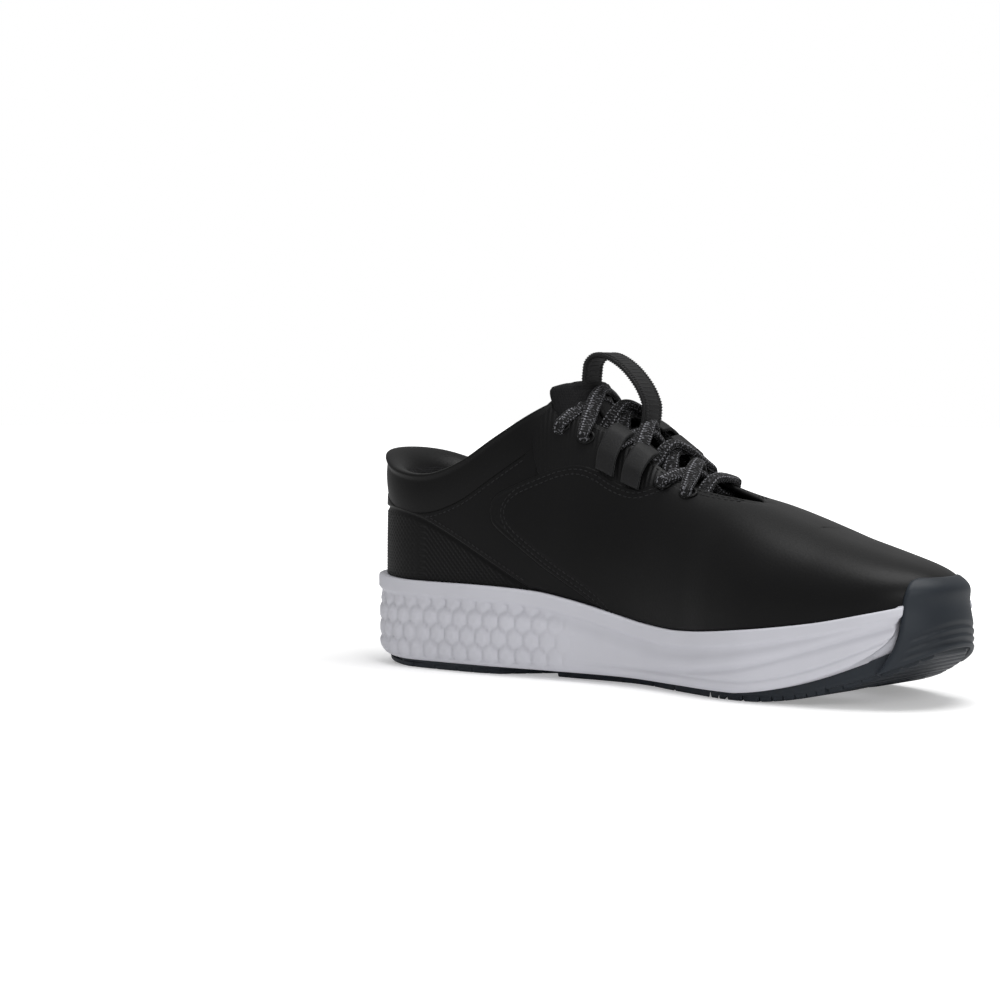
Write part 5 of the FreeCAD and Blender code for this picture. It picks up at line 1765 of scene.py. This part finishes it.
# ------------------------------------------------------------------ settings, panel and running order
class ShoeSizes(bpy.types.PropertyGroup):
    """Sizes of the small details."""
    stitch_pitch: bpy.props.FloatProperty(
        name="Stitch pitch", description="From one stitch to the next", default=0.0026, unit="LENGTH")
    stitch_length: bpy.props.FloatProperty(
        name="Stitch length", description="Length of one stitch", default=0.0021, unit="LENGTH")
    stitch_width: bpy.props.FloatProperty(
        name="Thread", description="Thickness of the sewing thread", default=0.0006, unit="LENGTH")
    lace_width: bpy.props.FloatProperty(
        name="Lace width", description="Width of the flat-oval lace", default=0.0072, unit="LENGTH")
    lace_thickness: bpy.props.FloatProperty(
        name="Lace thickness", description="Thickness of the lace", default=0.0034, unit="LENGTH")
    groove: bpy.props.FloatProperty(
        name="Tread groove", description="Depth of the grooves between the lugs", default=0.002, unit="LENGTH")


class ShoeFinish(bpy.types.PropertyGroup):
    """Colours and grain of the finishes."""
    leather: bpy.props.FloatVectorProperty(
        name="Leather", description="Colour of the upper", default=(0.0032, 0.0032, 0.0034), subtype="COLOR",
        min=0.0, max=1.0)
    textile: bpy.props.FloatVectorProperty(
        name="Textile", description="Colour of the lining, tapes and lace", default=(0.007, 0.007, 0.0075),
        subtype="COLOR", min=0.0, max=1.0)
    fleck: bpy.props.FloatVectorProperty(
        name="Fleck", description="Pale yarn in the lace", default=(0.22, 0.22, 0.24), subtype="COLOR",
        min=0.0, max=1.0)
    rubber: bpy.props.FloatVectorProperty(
        name="Rubber", description="Colour of the outsole", default=(0.017, 0.022, 0.029), subtype="COLOR",
        min=0.0, max=1.0)
    foam: bpy.props.FloatVectorProperty(
        name="Foam", description="Colour of the midsole", default=(0.60, 0.60, 0.65), subtype="COLOR",
        min=0.0, max=1.0)
    grain: bpy.props.FloatProperty(
        name="Grain", description="Size of the leather's grain, in millimetres", default=1.1, min=0.2, max=4.0)


ORDER = [
    SHOE_OT_vamp, SHOE_OT_quarters, SHOE_OT_facings, SHOE_OT_collar, SHOE_OT_lining, SHOE_OT_stitches,
    SHOE_OT_tongue, SHOE_OT_pull_loop, SHOE_OT_lace, SHOE_OT_lace_loops, SHOE_OT_midsole, SHOE_OT_bumper,
    SHOE_OT_forefoot_tread, SHOE_OT_heel_tread, SHOE_OT_insert, SHOE_OT_stage,
]


class SHOE_PT_panel(bpy.types.Panel):
    """Lists the sizes, the finishes and the pieces."""
    bl_idname = "SHOE_PT_panel"
    bl_label = "Golf Shoe"
    bl_space_type = "VIEW_3D"
    bl_region_type = "UI"
    bl_category = "Golf Shoe"

    def draw(self, context):
        for group in (context.scene.golf_shoe_sizes, context.scene.golf_shoe_finish):
            for name in group.__annotations__:
                self.layout.prop(group, name)
        for operator in ORDER:
            self.layout.operator(operator.bl_idname)


CLASSES = [ShoeSizes, ShoeFinish, *ORDER, SHOE_PT_panel]


def register():
    for item in CLASSES:
        bpy.utils.register_class(item)
    bpy.types.Scene.golf_shoe_sizes = bpy.props.PointerProperty(type=ShoeSizes)
    bpy.types.Scene.golf_shoe_finish = bpy.props.PointerProperty(type=ShoeFinish)


def unregister():
    del bpy.types.Scene.golf_shoe_finish
    del bpy.types.Scene.golf_shoe_sizes
    for item in reversed(CLASSES):
        bpy.utils.unregister_class(item)


def main():
    register()
    for operator in ORDER:
        group, name = operator.bl_idname.split(".")
        getattr(getattr(bpy.ops, group), name)()


if __name__ == "__main__":
    main()
